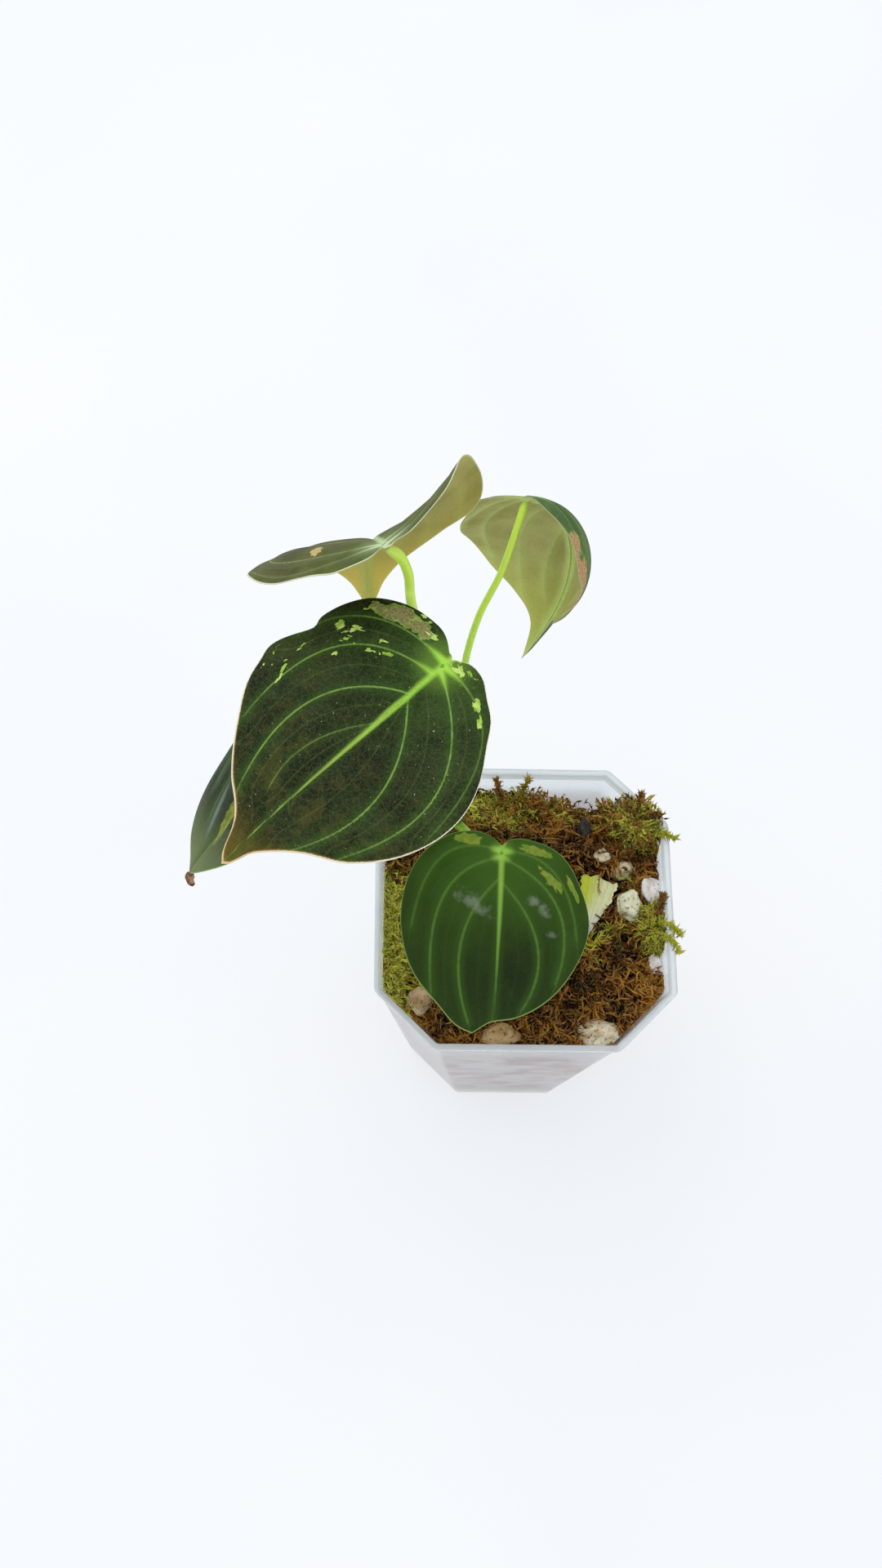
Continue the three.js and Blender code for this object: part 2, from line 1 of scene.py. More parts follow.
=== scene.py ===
"""A young black gold philodendron in a clear eight-sided nursery pot full of sphagnum moss.

Shapes are worked out in millimetres, and make_piece turns them into metres. +Z is up, the front is -Y, and
the origin is the middle of the pot's flat underside.
"""
import json
import math
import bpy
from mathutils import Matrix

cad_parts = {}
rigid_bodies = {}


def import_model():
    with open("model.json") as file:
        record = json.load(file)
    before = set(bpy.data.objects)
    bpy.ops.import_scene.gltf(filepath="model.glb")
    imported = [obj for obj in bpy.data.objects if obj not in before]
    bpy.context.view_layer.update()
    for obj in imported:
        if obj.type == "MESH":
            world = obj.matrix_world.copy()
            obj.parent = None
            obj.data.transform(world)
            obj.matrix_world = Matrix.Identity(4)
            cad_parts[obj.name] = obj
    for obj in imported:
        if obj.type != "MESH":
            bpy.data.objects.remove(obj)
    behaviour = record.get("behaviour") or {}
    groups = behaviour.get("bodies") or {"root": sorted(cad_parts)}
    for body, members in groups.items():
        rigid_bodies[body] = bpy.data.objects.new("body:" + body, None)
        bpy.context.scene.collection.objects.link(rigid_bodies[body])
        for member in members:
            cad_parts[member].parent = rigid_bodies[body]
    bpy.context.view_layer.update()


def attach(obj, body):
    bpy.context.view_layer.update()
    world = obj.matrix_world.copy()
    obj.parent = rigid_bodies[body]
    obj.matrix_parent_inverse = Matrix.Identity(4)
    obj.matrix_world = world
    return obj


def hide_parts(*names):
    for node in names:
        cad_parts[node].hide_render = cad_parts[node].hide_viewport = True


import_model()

from types import SimpleNamespace

import bpy
import numpy as np
from mathutils import Matrix

MM = 0.001

# Pot: a square with cut corners. Widths are across the flats.
POT = dict(
    height=90, rim_width=80, rim_cut=15.3, foot_width=56.5, foot_cut=14.3,
    wall=0.9, floor=1.2, lip_height=2.5, lip_out=0.8, corner_radius=2.2,
    drain_radius=2.5, drain_ring=17, drain_count=8,
)

# Moss bed: mean top, swells, the hollow along the back wall, and round rises (x, y, width, height)
BED = dict(
    top=82.5, swell=(1.5, 0.9, 0.6),
    hollow=dict(x=8, width=16, start=20, end=36, depth=7),
    rises=[(34, 25, 8, 4), (31, -27, 9, 3), (20, 38, 7, -10)],
)
# Moss tones: dark, middle, light and tip
MOSS_BROWNS = ("160a02", "68390d", "b88030", "dcb468")
MOSS_GREENS = ("686e08", "bcbe22", "e0de54", "f2f29c")
# Where the moss is green. A patch is x, y, half length, half width, turn and strength.
MOSS_GREEN = [
    (-35, -8, 24, 5, 90, 0.9), (-29, -23, 6, 5, 40, 0.9), (-14, 32, 12, 7, 0, 0.85), (6, 33, 9, 4, 0, 0.6),
    (20, 29, 7, 3, 0, 0.55), (33, 26, 7, 4, 0, 0.6), (36, 20, 5, 3, 0, 0.7), (37, -3, 8, 3, 90, 0.8),
    (26, -4, 6, 2.5, 20, 0.7), (18, -9, 3, 4, 0, 0.6), (31, 9, 4, 3, 0, 0.4),
]
# Where it is lighter and golden, and where painted shade darkens it under and next to the leaves
MOSS_GOLD = [(4, 27, 16, 5, 0, 0.8), (27, 22, 5, 3, 0, 0.5), (34, -24, 9, 4, 55, 1.5)]
MOSS_PAINTED_SHADE = [(3, 20, 13, 2.6, -5, 1.1), (13, -17, 5, 4, 40, 1.2), (16, 24, 4, 3, 0, 0.6),
             (10, -24, 5, 3, 0, 0.7), (22, -12, 6, 3, 30, 0.6)]

# Tall golden moss along the back wall: x, y, half width, half depth and number of shoots of each clump
MOSS_TALL = [(-2, 34, 3, 1.6, 90), (4.5, 33.5, 4, 1.8, 90), (11, 32, 3, 1.6, 90), (24, 29, 1.6, 1.4, 90)]
# Loose strands over the bed: count, length, width, rise and bend of each kind
STRANDS = [(4800, (3, 7), (0.6, 1.2), (0, 0.9), 3), (2600, (2.5, 5), (0.4, 0.8), (0.5, 1.3), 2)]
# Leafy shoots: their count over the bed, how wide they are and how long their leaflets are, and the number of
# leaflets on a shoot of the bed, a tall one, one of a tuft and a long one
SHOOT = dict(count=1500, width=(0.5, 0.9), leaflet=(0.8, 1.9), on_bed=16, on_tall=14, on_tuft=6, on_long=110)

# Stem: its route with its radii, and how far from its middle the moss roots
STEM = dict(
    points=[(-19, 25, 58), (-19, 25, 87), (-19.5, 25.5, 100), (-20.5, 26.5, 114), (-21, 27.5, 126),
            (-20, 28, 134), (-19, 28.5, 142)],
    radii=[3.2, 3.2, 3, 2.8, 2.4, 1.6, 0.7], clear=3,
)
# How far a stalk ends below the middle of its blade
STALK_END = dict(low=0.9, front=0.9, left=0.9, top=0.1, back=0.5)
STALK_RADII = dict(
    low=[1.5, 1, 1, 0.9, 0.9], front=[1.6, 1.1, 1.1, 1, 1], left=[1.5, 1, 1, 0.9, 0.9],
    top=[1.6, 1.2, 1.15, 1.1, 1.1], back=[1.6, 1, 0.9, 0.85, 0.85],
)

# Main veins of the front and the low leaf. Each leaves the midrib at a distance from the base, bends towards
# a control point and ends at the margin. A point is its distance out from the midrib and its distance towards
# the tip.
FRONT_VEINS = dict(
    right=[(19, (10.5, 33), (5, 45)), (9.3, (22.9, 23), (9.4, 50.8)), (3, (29.4, 9.1), (21.5, 40)),
           (-0.5, (24.5, 0.5), (28.5, 19))],
    left=[(10.3, (22.2, 26.3), (9.2, 49.6)), (1.2, (33, 13.3), (17.8, 42.6)), (0.3, (24.8, -4), (27.3, 26))],
)
LOW_VEINS = dict(
    right=[(6.5, (15.7, 22), (6.2, 45)), (1.5, (20.9, 7), (16.2, 38)), (0, (19, -4), (22.2, 22))],
    left=[(7.5, (16.4, 21), (7.2, 39)), (1.5, (22, 8), (15, 31)), (0, (17, -3), (19.6, 19))],
)


def scaled_veins(veins, across, along, swapped=False):
    """Another leaf's veins, from those of a leaf of the same kind."""
    sides = ("left", "right")
    scaled = {}
    for side, taken in zip(sides, reversed(sides) if swapped else sides):
        scaled[side] = [
            (start * along,) + tuple((x * across, y * along) for x, y in ends)
            for start, *ends in veins[taken]
        ]
    return scaled


# Leaves. base is where the stalk meets the blade. heading is the bearing of the tip, with 0 at +Y and 90 at
# +X, pitch its rise above level, and roll drops the right side. arch bends the midrib down, in degrees a
# millimetre at the base and at the tip, arch_back does behind the base, and twist turns the blade along its
# length. left and right are the outline's radii at OUTLINE_ANGLES from the tip. stalk is the stalk's route.
# Four values are for the left half and then the right half. fold lifts it, in degrees at the base and at the
# tip, curl bends it on, in degrees a millimetre at both, and margin is the width of its pale margin at both.
# strong is how clear each of its veins is, in their order.
# rib is how far the midrib strays at half its length and at its tip, and quilt how far the blade swells
# between its veins. waves are small rises of the outline: angle from the tip, which is below zero on the
# left, width and height. lime, dark, dead and scuff are soft patches of variegation, of deeper green (on the
# low leaf, painted shade), of dead tissue and of rubbed skin: x, y, half length, half width, turn and
# strength. dried_tip is the route of a dry end, from the blade's tip.
OUTLINE_ANGLES = np.array([0, 5, 14, 27, 42, 58, 75, 95, 118, 148, 180], float)
LEAVES = dict(
    low=dict(
        base=(-8.5, 2, 123), heading=189, pitch=-22, roll=-1, twist=0, arch=(0.3, 0.7), arch_back=0.6,
        fold=((9, 6), (9, 6)), curl=((-0.7, -0.5), (-0.7, -0.5)),
        left=(48, 44.5, 43, 39.5, 34.5, 29, 21.5, 15, 8, 4, 1.5),
        right=(48, 46.5, 42, 38, 32.5, 27, 21.5, 15, 8.5, 2.5, 1.5),
        stalk=[(-19.2, 25, 88), (-16, 20.5, 92), (-12, 12, 101), (-9.2, 5, 113), (-8.5, 2, 123)],
        veins=LOW_VEINS, rib=(-2.9, -5), quilt=0.55, margin=((0.35, 0.45), (0.35, 0.45)),
        lime=[(9, -1.9, 3.2, 1.3, 0, 1.1), (-8.5, -1.4, 4.6, 1, -8, 1), (-13.5, 5.2, 4.2, 1, -38, 1),
              (-19, 6.5, 4, 0.7, -55, 0.9)],
        # On this leaf the dark patches are painted shade over the lower right of the blade
        dark=[(-8, 31, 11, 7, 60, 0.8), (3, 34, 8, 3, 90, 0.5)],
        scuff=[(4.6, 14, 4.6, 1.9, -30, 1), (8.5, 12.5, 2, 1.6, 0, 0.8), (-10, 10.8, 2, 1.4, 0, 1),
               (-13, 13, 2.6, 1.3, -60, 0.9), (-15.8, 18.5, 1.4, 1, 0, 0.8)],
    ),
    front=dict(
        base=(-26.5, 11, 205), heading=233, pitch=-8, roll=6, twist=0, arch=(0.2, 0.8), arch_back=0.9,
        fold=((8, 6), (8, 6)), curl=((-0.6, -0.4), (-0.6, -0.4)),
        left=(63.5, 56, 50, 47, 42.5, 35.5, 24.5, 14, 9, 4, 2),
        right=(63.5, 55, 51, 46, 42, 32.5, 26.5, 18, 10, 4, 2),
        stalk=[(-20.2, 26.2, 108), (-20, 22.6, 116), (-20, 20, 140), (-21.2, 16, 172), (-24.5, 12, 195),
               (-26.5, 11, 205)],
        veins=FRONT_VEINS, rib=(-1.5, 0), quilt=0.4, strong=((1, 1, 0.7), (0.45, 1, 0.9, 0.7)),
        waves=[(50, 4.5, 2), (58.5, 3.5, -1.6), (84, 9, 0.8), (142, 14, -1), (-77, 7, -1.2), (-90, 5, 0.4),
               (1.5, 1.2, 1.2), (-1.5, 1.2, 1.2)],
        margin=((0.35, 1.0), (0.15, 1.3)),
        lime=[(20.2, 4.4, 1.8, 0.8, 20, 0.9), (20.9, 2.6, 1, 1.2, 0, 0.8), (13, -3.4, 4.5, 0.7, 14, 0.8),
              (7.4, -1.9, 2.4, 0.9, 10, 1), (22.5, 11.2, 1.8, 1, 0, 1), (19.1, 9.9, 2.6, 1.3, 70, 0.9),
              (17.8, 12.3, 2, 0.7, 40, 1), (13.4, 7.2, 3, 0.5, 40, 0.75), (17.4, 15.8, 1.2, 0.5, 40, 0.9),
              (11.7, 9.6, 4.4, 0.8, 40, 0.8), (25.4, 28.7, 1.8, 0.7, 100, 0.9),
              (23, 26.5, 3.4, 0.6, 120, 0.7), (28.2, 24.4, 5, 0.4, 105, 0.8), (24.5, 18.5, 5, 0.8, 95, 0.5),
              (-3.6, -1.8, 3.6, 1.2, 10, 1), (-12.6, 0.5, 3.4, 0.8, -25, 1), (-15.8, 2.4, 2, 0.8, -40, 0.9)],
        dead=[(18.6, 2.4, 3, 1.1, 12, 1), (14.8, -0.4, 3, 1.7, 15, 1), (10.4, -1.3, 3.2, 1.3, 0, 1)],
        dark=[(2.8, 33, 9, 3.4, 98, 1), (4.5, 21, 7, 3, 105, 0.7), (-15, 21, 7, 5, 70, 0.6),
              (12, 9, 8, 3.4, 45, 0.8),
              (-8, 33, 7, 3, 110, 0.6)],
    ),
    left=dict(
        base=(-48.5, 18, 175.5), heading=225, pitch=-22, roll=24, twist=0.3, arch=(-0.1, 0.4), arch_back=0.4,
        fold=((-1, 7), (-4, -1)), curl=((-0.5, -0.4), (-0.4, -0.2)),
        left=(53.5, 51, 46, 37, 34.5, 27.5, 21, 16, 9.5, 4.5, 2),
        right=(53.5, 51.5, 49, 43, 33.5, 26.5, 20.5, 16.5, 9, 5, 2),
        stalk=[(-19.7, 25.8, 99), (-23.2, 25.2, 107), (-30, 24, 135), (-41, 21, 162), (-46, 19.2, 172),
               (-48.5, 18, 175.5)],
        veins=scaled_veins(FRONT_VEINS, 0.84, 0.84, swapped=True), rib=(1, 0), quilt=0.35,
        margin=((0.25, 0.3), (0.25, 0.3)),
        lime=[(1, 39, 6.5, 1.5, -65, 0.9), (-12, 6, 4, 1, 30, 0.9)],
        dark=[(4.2, 37.2, 7, 1.9, -62, 1.2), (14, 29, 14, 4.5, -75, 0.9), (15.5, 41, 9, 3, -52, 1.1)],
        scuff=[(7.2, 38.7, 7, 0.9, -60, 1.3)],
        dried_tip=[(0, 0, 0), (-0.2, -0.8, -0.5), (-0.1, -1.7, -1.1), (0.7, -2.5, -1.7)],
    ),
    top=dict(
        base=(-39.5, 30.5, 220.5), heading=346, pitch=-47, roll=-2, twist=0.4, arch=(0.6, 1.6), arch_back=1,
        fold=((-1, 18), (22, 11)), curl=((-1, -1.7), (1.3, -0.1)),
        left=(59, 50.5, 45.5, 41.5, 40.5, 33, 25, 16.5, 11.5, 3, 2),
        right=(59, 49, 42, 39.5, 43, 33.5, 26, 19, 9, 3, 2),
        stalk=[(-20.6, 26.8, 114), (-23.8, 27.2, 122), (-26, 28, 147), (-29, 28.4, 174), (-33.4, 29, 200),
               (-34.4, 29.8, 211), (-36.4, 30.2, 217.2), (-39.5, 30.5, 220.5)],
        veins=scaled_veins(FRONT_VEINS, 1, 0.93), rib=(0, 0), quilt=0.35,
        margin=((0.8, 0.8), (0.8, 0.8)),
        dead=[(-13, 12, 2.4, 1.5, 70, 1)],
        dark=[(-18, 18, 9, 4, 60, 0.7), (14, 10, 10, 4, 20, 0.7)],
    ),
    back=dict(
        base=(-7, 60, 194.5), heading=65, pitch=-35, roll=-23, twist=0.2, arch=(2.1, 2.2), arch_back=-0.2,
        fold=((-24, -35), (34, -55)), curl=((-1.3, -0.2), (-4.3, -0.9)),
        left=(60, 51.5, 48, 46.5, 41, 32.5, 24.5, 17, 11, 7.5, 2),
        right=(60, 52, 47, 44, 40, 29, 25, 17.5, 11.5, 4, 2),
        stalk=[(-20.9, 27.2, 122), (-20.4, 30.6, 130), (-19.6, 33.5, 148), (-19.2, 36.5, 161.5),
               (-16.7, 42.1, 171.3), (-12.2, 47.4, 182.6), (-9.2, 54, 190.8), (-7, 60, 194.5)],
        veins=scaled_veins(FRONT_VEINS, 0.97, 0.95, swapped=True), rib=(0, 0), quilt=0.35,
        margin=((0.4, 0.4), (0.4, 0.4)),
        lime=[(-14, 12, 5, 1.3, 60, 0.8)],
        dead=[(20, 0.5, 4, 3, -50, 1), (24, 6.5, 4.5, 3.2, -75, 1.2), (25.5, 12, 4.5, 3, -85, 1.2),
              (25, 18, 4.5, 2.4, -100, 1)],
    ),
)
BESIDE_EDGE = 0.997  # where the ring before the edge lies, of the way out
MARKS = ("dark", "lime", "dead", "scuff")
BLADE = dict(thickness=0.5, edge_thickness=0.2, rib_depth=0.9, vein_depth=0.3, wave=0.35)

# Tufts of living moss: middle, half widths of the mound and longest shoot. green is the share of green
# shoots, tone how light they are, and routes are long shoots, some over the rim.
TUFTS = dict(
    # The left tuft's high tone is painted light: it lies in shade under the leaves.
    moss_green_left=dict(
        at=(-34.5, -8), half=(3.2, 17, 3.4), count=1300, length=4.5, green=1.0, tone=0.7, routes=[],
    ),
    moss_green_back=dict(
        at=(-6, 31), half=(6.5, 4.5, 3.2), count=650, length=5.5, green=0.8, tone=0.25,
        routes=[[(-0.6, 32.8, 83), (0.8, 35, 87.5), (1.8, 36.6, 91)],
                [(-5, 33, 84), (-6.5, 35.5, 87), (-7, 37, 89)]],
    ),
    moss_green_corner=dict(
        at=(32, 25.5), half=(5.5, 4.5, 3.4), count=800, length=7, green=0.5, tone=0.12,
        routes=[[(34.5, 21.5, 88), (37.6, 20.6, 91.6), (41.3, 18.9, 92)],
                [(28, 26, 87), (28.2, 27.6, 90.5), (28.4, 28.6, 93)],
                [(33, 26, 88), (35.6, 26.5, 91.4), (37.4, 25.6, 92)],
                [(31, 28, 88), (32, 30.5, 91), (32.4, 32, 92)]],
    ),
    moss_green_right=dict(
        at=(35.5, -4.5), half=(2.6, 5, 3.6), count=500, length=5.5, green=0.8, tone=0.25,
        routes=[[(36, -3.5, 87), (38.4, -5.6, 91.5), (41.5, -8.3, 91)],
                [(36.5, -7, 87), (39, -10, 91.8), (41, -12.9, 89.5)],
                [(36, -1, 87), (37, 1, 89.5), (37.2, 3.2, 90.5)]],
    ),
)

# Stones and the bark chip: middle, half sizes and colours. LUMP_LIFT is the height of a middle over the bed,
# in half heights.
LUMPS = dict(
    stone_front=dict(at=(20.2, -33), half=(6.4, 3.6, 3.6), look="cream"),
    stone_peach=dict(at=(-6.7, -33.6), half=(5, 2.8, 3), look="peach"),
    stone_left=dict(at=(-27.6, -25.2), half=(3, 3.4, 2.6), look="sand"),
    stone_middle=dict(at=(28.8, 2.2), half=(3.3, 4.2, 3.2), look="pale_green"),
    stone_right=dict(at=(35.2, 6.4), half=(3, 4, 3.4), look="white"),
    stone_edge=dict(at=(35.8, -14), half=(2.8, 3.2, 2.8), look="white"),
    stone_far=dict(at=(22.4, 17), half=(2.3, 2, 2.2), look="cream"),
    stone_back=dict(at=(27.9, 13.2), half=(3.5, 2.7, 2.6), look="cream"),
    bark_chip=dict(at=(17.6, 24.4), half=(1.7, 3.2, 2), look="bark"),
)
LUMP_LIFT = 0.35

# Old sheath: its route with its half widths, how deep its channel is and how ragged its wide end. No strand
# roots within clear_sides of its middle, at its start and its end, or within clear_ends past them.
SHEATH = dict(
    points=[(16.8, -6.2, 83.2), (18.2, -0.7, 82.6), (20, 5.3, 83.6), (21.6, 10.8, 84.6)],
    half_widths=[0.7, 2.6, 4.6, 5], thickness=0.45, channel=1.4, torn=0.8,
    clear_sides=(1.6, 6.2), clear_ends=1.3,
)

# Fineness: rays and rings of the blades, steps along and sides round the round pieces and the sheath, rings
# down the moss bed and across its top, and subdivisions of the stones
LEAF_GRIDS = dict(low=(220, 66), front=(280, 88), left=(190, 54), top=(220, 66), back=(220, 66))
STALK_GRID, STEM_GRID, DRIED_TIP_GRID = (110, 20), (200, 28), (40, 16)
SHEATH_GRID, BED_GRID = (60, 25), (34, 44)
STONE_SUBDIVISIONS = 5
SEED = 7

# Camera: the photograph's viewpoint, in millimetres and degrees. FOCAL_PIXELS is in frames of FRAME_HEIGHT.
CAMERA = dict(at=(-41.6, -165.5, 540.1), elevation=65.9, azimuth=-5.5, roll=5.9)
FOCAL_PIXELS = 2200
FRAME_HEIGHT = 1920
SENSOR = 24

# The window's light and the floor, in metres
WINDOW = dict(at=(-0.45, 0.35, 1.1), aim=(0, 0, 0.12), size=0.9, power=4, tint=(1, 0.99, 0.97))
FLOOR_SIZE = 8


def colour(text):
    """Linear colour of a hexadecimal screen colour."""
    parts = [int(text[k:k + 2], 16) / 255 for k in (0, 2, 4)]
    return tuple(((c + 0.055) / 1.055) ** 2.4 if c > 0.04045 else c / 12.92 for c in parts) + (1,)


def mix(a, b, share):
    return a + (b - a) * share


def smooth(value, low, high):
    share = np.clip((value - low) / (high - low), 0, 1)
    return share * share * (3 - 2 * share)


class Skin:
    """A material put together from nodes. A value is a number, a colour or another node's output.

    ground is the colour so far, which each paint covers with another by a share.
    """

    def __init__(self, name, roughness, soft=None, **shader):
        """soft is the weight of the light that goes in, and how far its red, green and blue go."""
        self.material = bpy.data.materials.new(name)
        self.material.use_nodes = True
        self.tree = self.material.node_tree
        self.shader = self.tree.nodes["Principled BSDF"]
        shader["Roughness"] = roughness
        if soft:
            weight, *depths = soft
            shader.update(Subsurface_Weight=weight, Subsurface_Scale=1.0,
                          Subsurface_Radius=[depth * MM for depth in depths])
        for socket, value in shader.items():
            self.feed(self.shader.inputs[socket.replace("_", " ")], value)

    def feed(self, socket, value):
        if isinstance(value, bpy.types.NodeSocket):
            self.tree.links.new(value, socket)
        else:
            socket.default_value = colour(value) if isinstance(value, str) else value

    def node(self, kind, inputs, output=0, **settings):
        node = self.tree.nodes.new(kind)
        for key, value in settings.items():
            setattr(node, key, value)
        for key, value in inputs.items():
            self.feed(node.inputs[key], value)
        return node.outputs[output]

    def place(self):
        return self.node("ShaderNodeTexCoord", {}, "Object")

    def fields(self, *names):
        return [self.node("ShaderNodeAttribute", {}, "Fac", attribute_name=name) for name in names]

    def flat(self):
        """The place on a flat blade."""
        return self.node("ShaderNodeAttribute", {}, "Vector", attribute_name="flat")

    def math(self, operation, a, b=0.0, clamp=False):
        return self.node("ShaderNodeMath", {0: a, 1: b}, operation=operation, use_clamp=clamp)

    def times(self, *factors):
        product = factors[0]
        for factor in factors[1:]:
            product = self.math("MULTIPLY", product, factor)
        return product

    def plus(self, a, b):
        return self.math("ADD", a, b)

    def band(self, value, low, high, start=0.0, end=1.0):
        """start below low, end above high, and a soft step between."""
        inputs = {"Value": value, "From Min": low, "From Max": high, "To Min": start, "To Max": end}
        return self.node("ShaderNodeMapRange", inputs, interpolation_type="SMOOTHSTEP")

    def blend(self, share, a, b):
        return self.node("ShaderNodeMix", {0: share, 6: a, 7: b}, 2, data_type="RGBA")

    def paint(self, share, tint):
        self.ground = self.blend(share, self.ground, tint)

    def noise(self, place, size, detail=3.0, distortion=0.0):
        """Noise whose lumps are about size millimetres."""
        inputs = {"Vector": place, "Scale": 1 / (size * MM), "Detail": detail, "Distortion": distortion}
        return self.node("ShaderNodeTexNoise", inputs, "Fac")

    def cells(self, place, size):
        """Distance to the nearest wall of a net of cells, in cells."""
        inputs = {"Vector": place, "Scale": 1 / (size * MM)}
        return self.node("ShaderNodeTexVoronoi", inputs, "Distance", feature="DISTANCE_TO_EDGE")

    def finish(self, height=None, depth=0.1):
        """height, from 0 to 1, stands out by depth millimetres."""
        self.feed(self.shader.inputs["Base Color"], self.ground)
        if height is not None:
            inputs = {"Height": height, "Distance": depth * MM, "Strength": 1.0}
            self.feed(self.shader.inputs["Normal"], self.node("ShaderNodeBump", inputs))
        return self.material


def make_piece(name, points, faces, fields, materials, slot, replaces=None, face_material=None):
    """A piece from points in millimetres. faces is a list of integer arrays, one row a face."""
    mesh = bpy.data.meshes.new(name)
    mesh.vertices.add(len(points))
    mesh.vertices.foreach_set("co", (np.asarray(points, float) * MM).astype(np.float32).ravel())
    corners = np.concatenate([rows.ravel() for rows in faces]).astype(np.int32)
    sizes = np.concatenate([np.full(len(rows), rows.shape[1]) for rows in faces])
    mesh.loops.add(len(corners))
    mesh.loops.foreach_set("vertex_index", corners)
    mesh.polygons.add(len(sizes))
    mesh.polygons.foreach_set("loop_start", np.concatenate([[0], np.cumsum(sizes)[:-1]]).astype(np.int32))
    mesh.update(calc_edges=True)
    mesh.shade_smooth()
    for key, values in fields.items():
        values = np.asarray(values, np.float32)
        kind, part = ("FLOAT_VECTOR", "vector") if values.ndim == 2 else ("FLOAT", "value")
        mesh.attributes.new(key, kind, "POINT").data.foreach_set(part, values.ravel())
    for material in materials:
        mesh.materials.append(material)
    if face_material is not None:
        mesh.polygons.foreach_set("material_index", face_material.astype(np.int32))
    piece = bpy.data.objects.new(name, mesh)
    bpy.context.scene.collection.objects.link(piece)
    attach(piece, "root")
    if replaces:
        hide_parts(replaces)
    return piece


def grid_faces(rows, columns, first=0, wrapped=True):
    """Quads between the rows of a grid of points, in the order row by row."""
    k = np.arange(columns if wrapped else columns - 1)
    near = first + np.arange(rows - 1)[:, None] * columns + k
    ahead = first + np.arange(rows - 1)[:, None] * columns + (k + 1) % columns
    return np.stack([near, ahead, ahead + columns, near + columns], -1).reshape(-1, 4)


def smooth_curve(points, count):
    """Points evenly spaced along a smooth curve through the given ones."""
    points = np.asarray(points, float)
    padded = np.vstack([2 * points[0] - points[1], points, 2 * points[-1] - points[-2]])
    dense = []
    for a, b, c, d in zip(padded, padded[1:], padded[2:], padded[3:]):
        ab, bc, cd = [math.sqrt(np.linalg.norm(q - p)) for p, q in ((a, b), (b, c), (c, d))]
        into = ((b - a) / ab - (c - a) / (ab + bc) + (c - b) / bc) * bc
        outof = ((c - b) / bc - (d - b) / (bc + cd) + (d - c) / cd) * bc
        t = np.arange(20)[:, None] / 20
        dense.append(b * (2 * t**3 - 3 * t**2 + 1) + into * (t**3 - 2 * t**2 + t)
                     + c * (3 * t**2 - 2 * t**3) + outof * (t**3 - t**2))
    dense = np.vstack(dense + [points[-1:]])
    run = np.concatenate([[0], np.cumsum(np.linalg.norm(np.diff(dense, axis=0), axis=1))])
    even = np.linspace(0, run[-1], count)
    return np.stack([np.interp(even, run, dense[:, k]) for k in range(3)], 1)


def unit(vectors):
    return vectors / np.maximum(np.linalg.norm(vectors, axis=-1, keepdims=True), 1e-9)


def loft(rings):
    """Points and faces of a closed body through rings of points."""
    around = len(rings[0])
    cap = np.arange(around)[None]
    faces = [grid_faces(len(rings), around), cap[:, ::-1], cap + (len(rings) - 1) * around]
    return np.vstack(rings), faces


def bar(points, radii, steps, sides, relief):
    """A closed round bar along a smooth curve. relief gives a factor on the radius from along and around."""
    centres = smooth_curve(points, steps)
    tangents = unit(np.gradient(centres, axis=0))
    side = np.cross(tangents[0], (0.3, 1, 0.2))
    along = np.linspace(0, 1, steps)
    radius = np.interp(along, np.linspace(0, 1, len(radii)), radii)
    turns = np.arange(sides) * 2 * math.pi / sides
    rings = []
    for k in range(steps):
        side = unit(side - tangents[k] * side.dot(tangents[k]))
        other = np.cross(tangents[k], side)
        reach = (radius[k] * relief(along[k], turns))[:, None]
        rings.append(centres[k] + reach * (np.cos(turns)[:, None] * side + np.sin(turns)[:, None] * other))
    return *loft(rings), dict(along=np.repeat(along, sides))


# Leaf blades


def outline_radius(radii, angle):
    """Radius of a leaf's outline at angles from its tip, on a smooth curve through the given radii."""
    angles, radii = OUTLINE_ANGLES, np.asarray(radii, float)
    slopes = np.empty(len(radii))
    slopes[1:-1] = (radii[2:] - radii[:-2]) / (angles[2:] - angles[:-2])
    slopes[0] = (radii[1] - radii[0]) / (angles[1] - angles[0])
    slopes[-1] = (radii[-1] - radii[-2]) / (angles[-1] - angles[-2])
    k = np.clip(np.searchsorted(angles, angle, side="right") - 1, 0, len(angles) - 2)
    span = angles[k + 1] - angles[k]
    t = (angle - angles[k]) / span
    return ((2 * t**3 - 3 * t**2 + 1) * radii[k] + (t**3 - 2 * t**2 + t) * span * slopes[k]
            + (3 * t**2 - 2 * t**3) * radii[k + 1] + (t**3 - t**2) * span * slopes[k + 1])


def leaf_axes(leaf):
    """A leaf's own axes: across to its right, along to its tip and out of its upper side."""
    h, p, r = np.radians([leaf["heading"], leaf["pitch"], leaf["roll"]])
    along = np.array([math.sin(h) * math.cos(p), math.cos(h) * math.cos(p), math.sin(p)])
    level = np.array([math.cos(h), -math.sin(h), 0])
    across = level * math.cos(r) - np.cross(level, along) * math.sin(r)
    return across, along, np.cross(across, along)


def by_side(x, halves, share):
    """A value of the left or the right half, which goes from one number to another by a share."""
    left, right = halves
    return np.where(x < 0, mix(*left, share), mix(*right, share))


def mean_of(function, samples=24):
    return sum(function((k + 0.5) / samples) for k in range(samples)) / samples


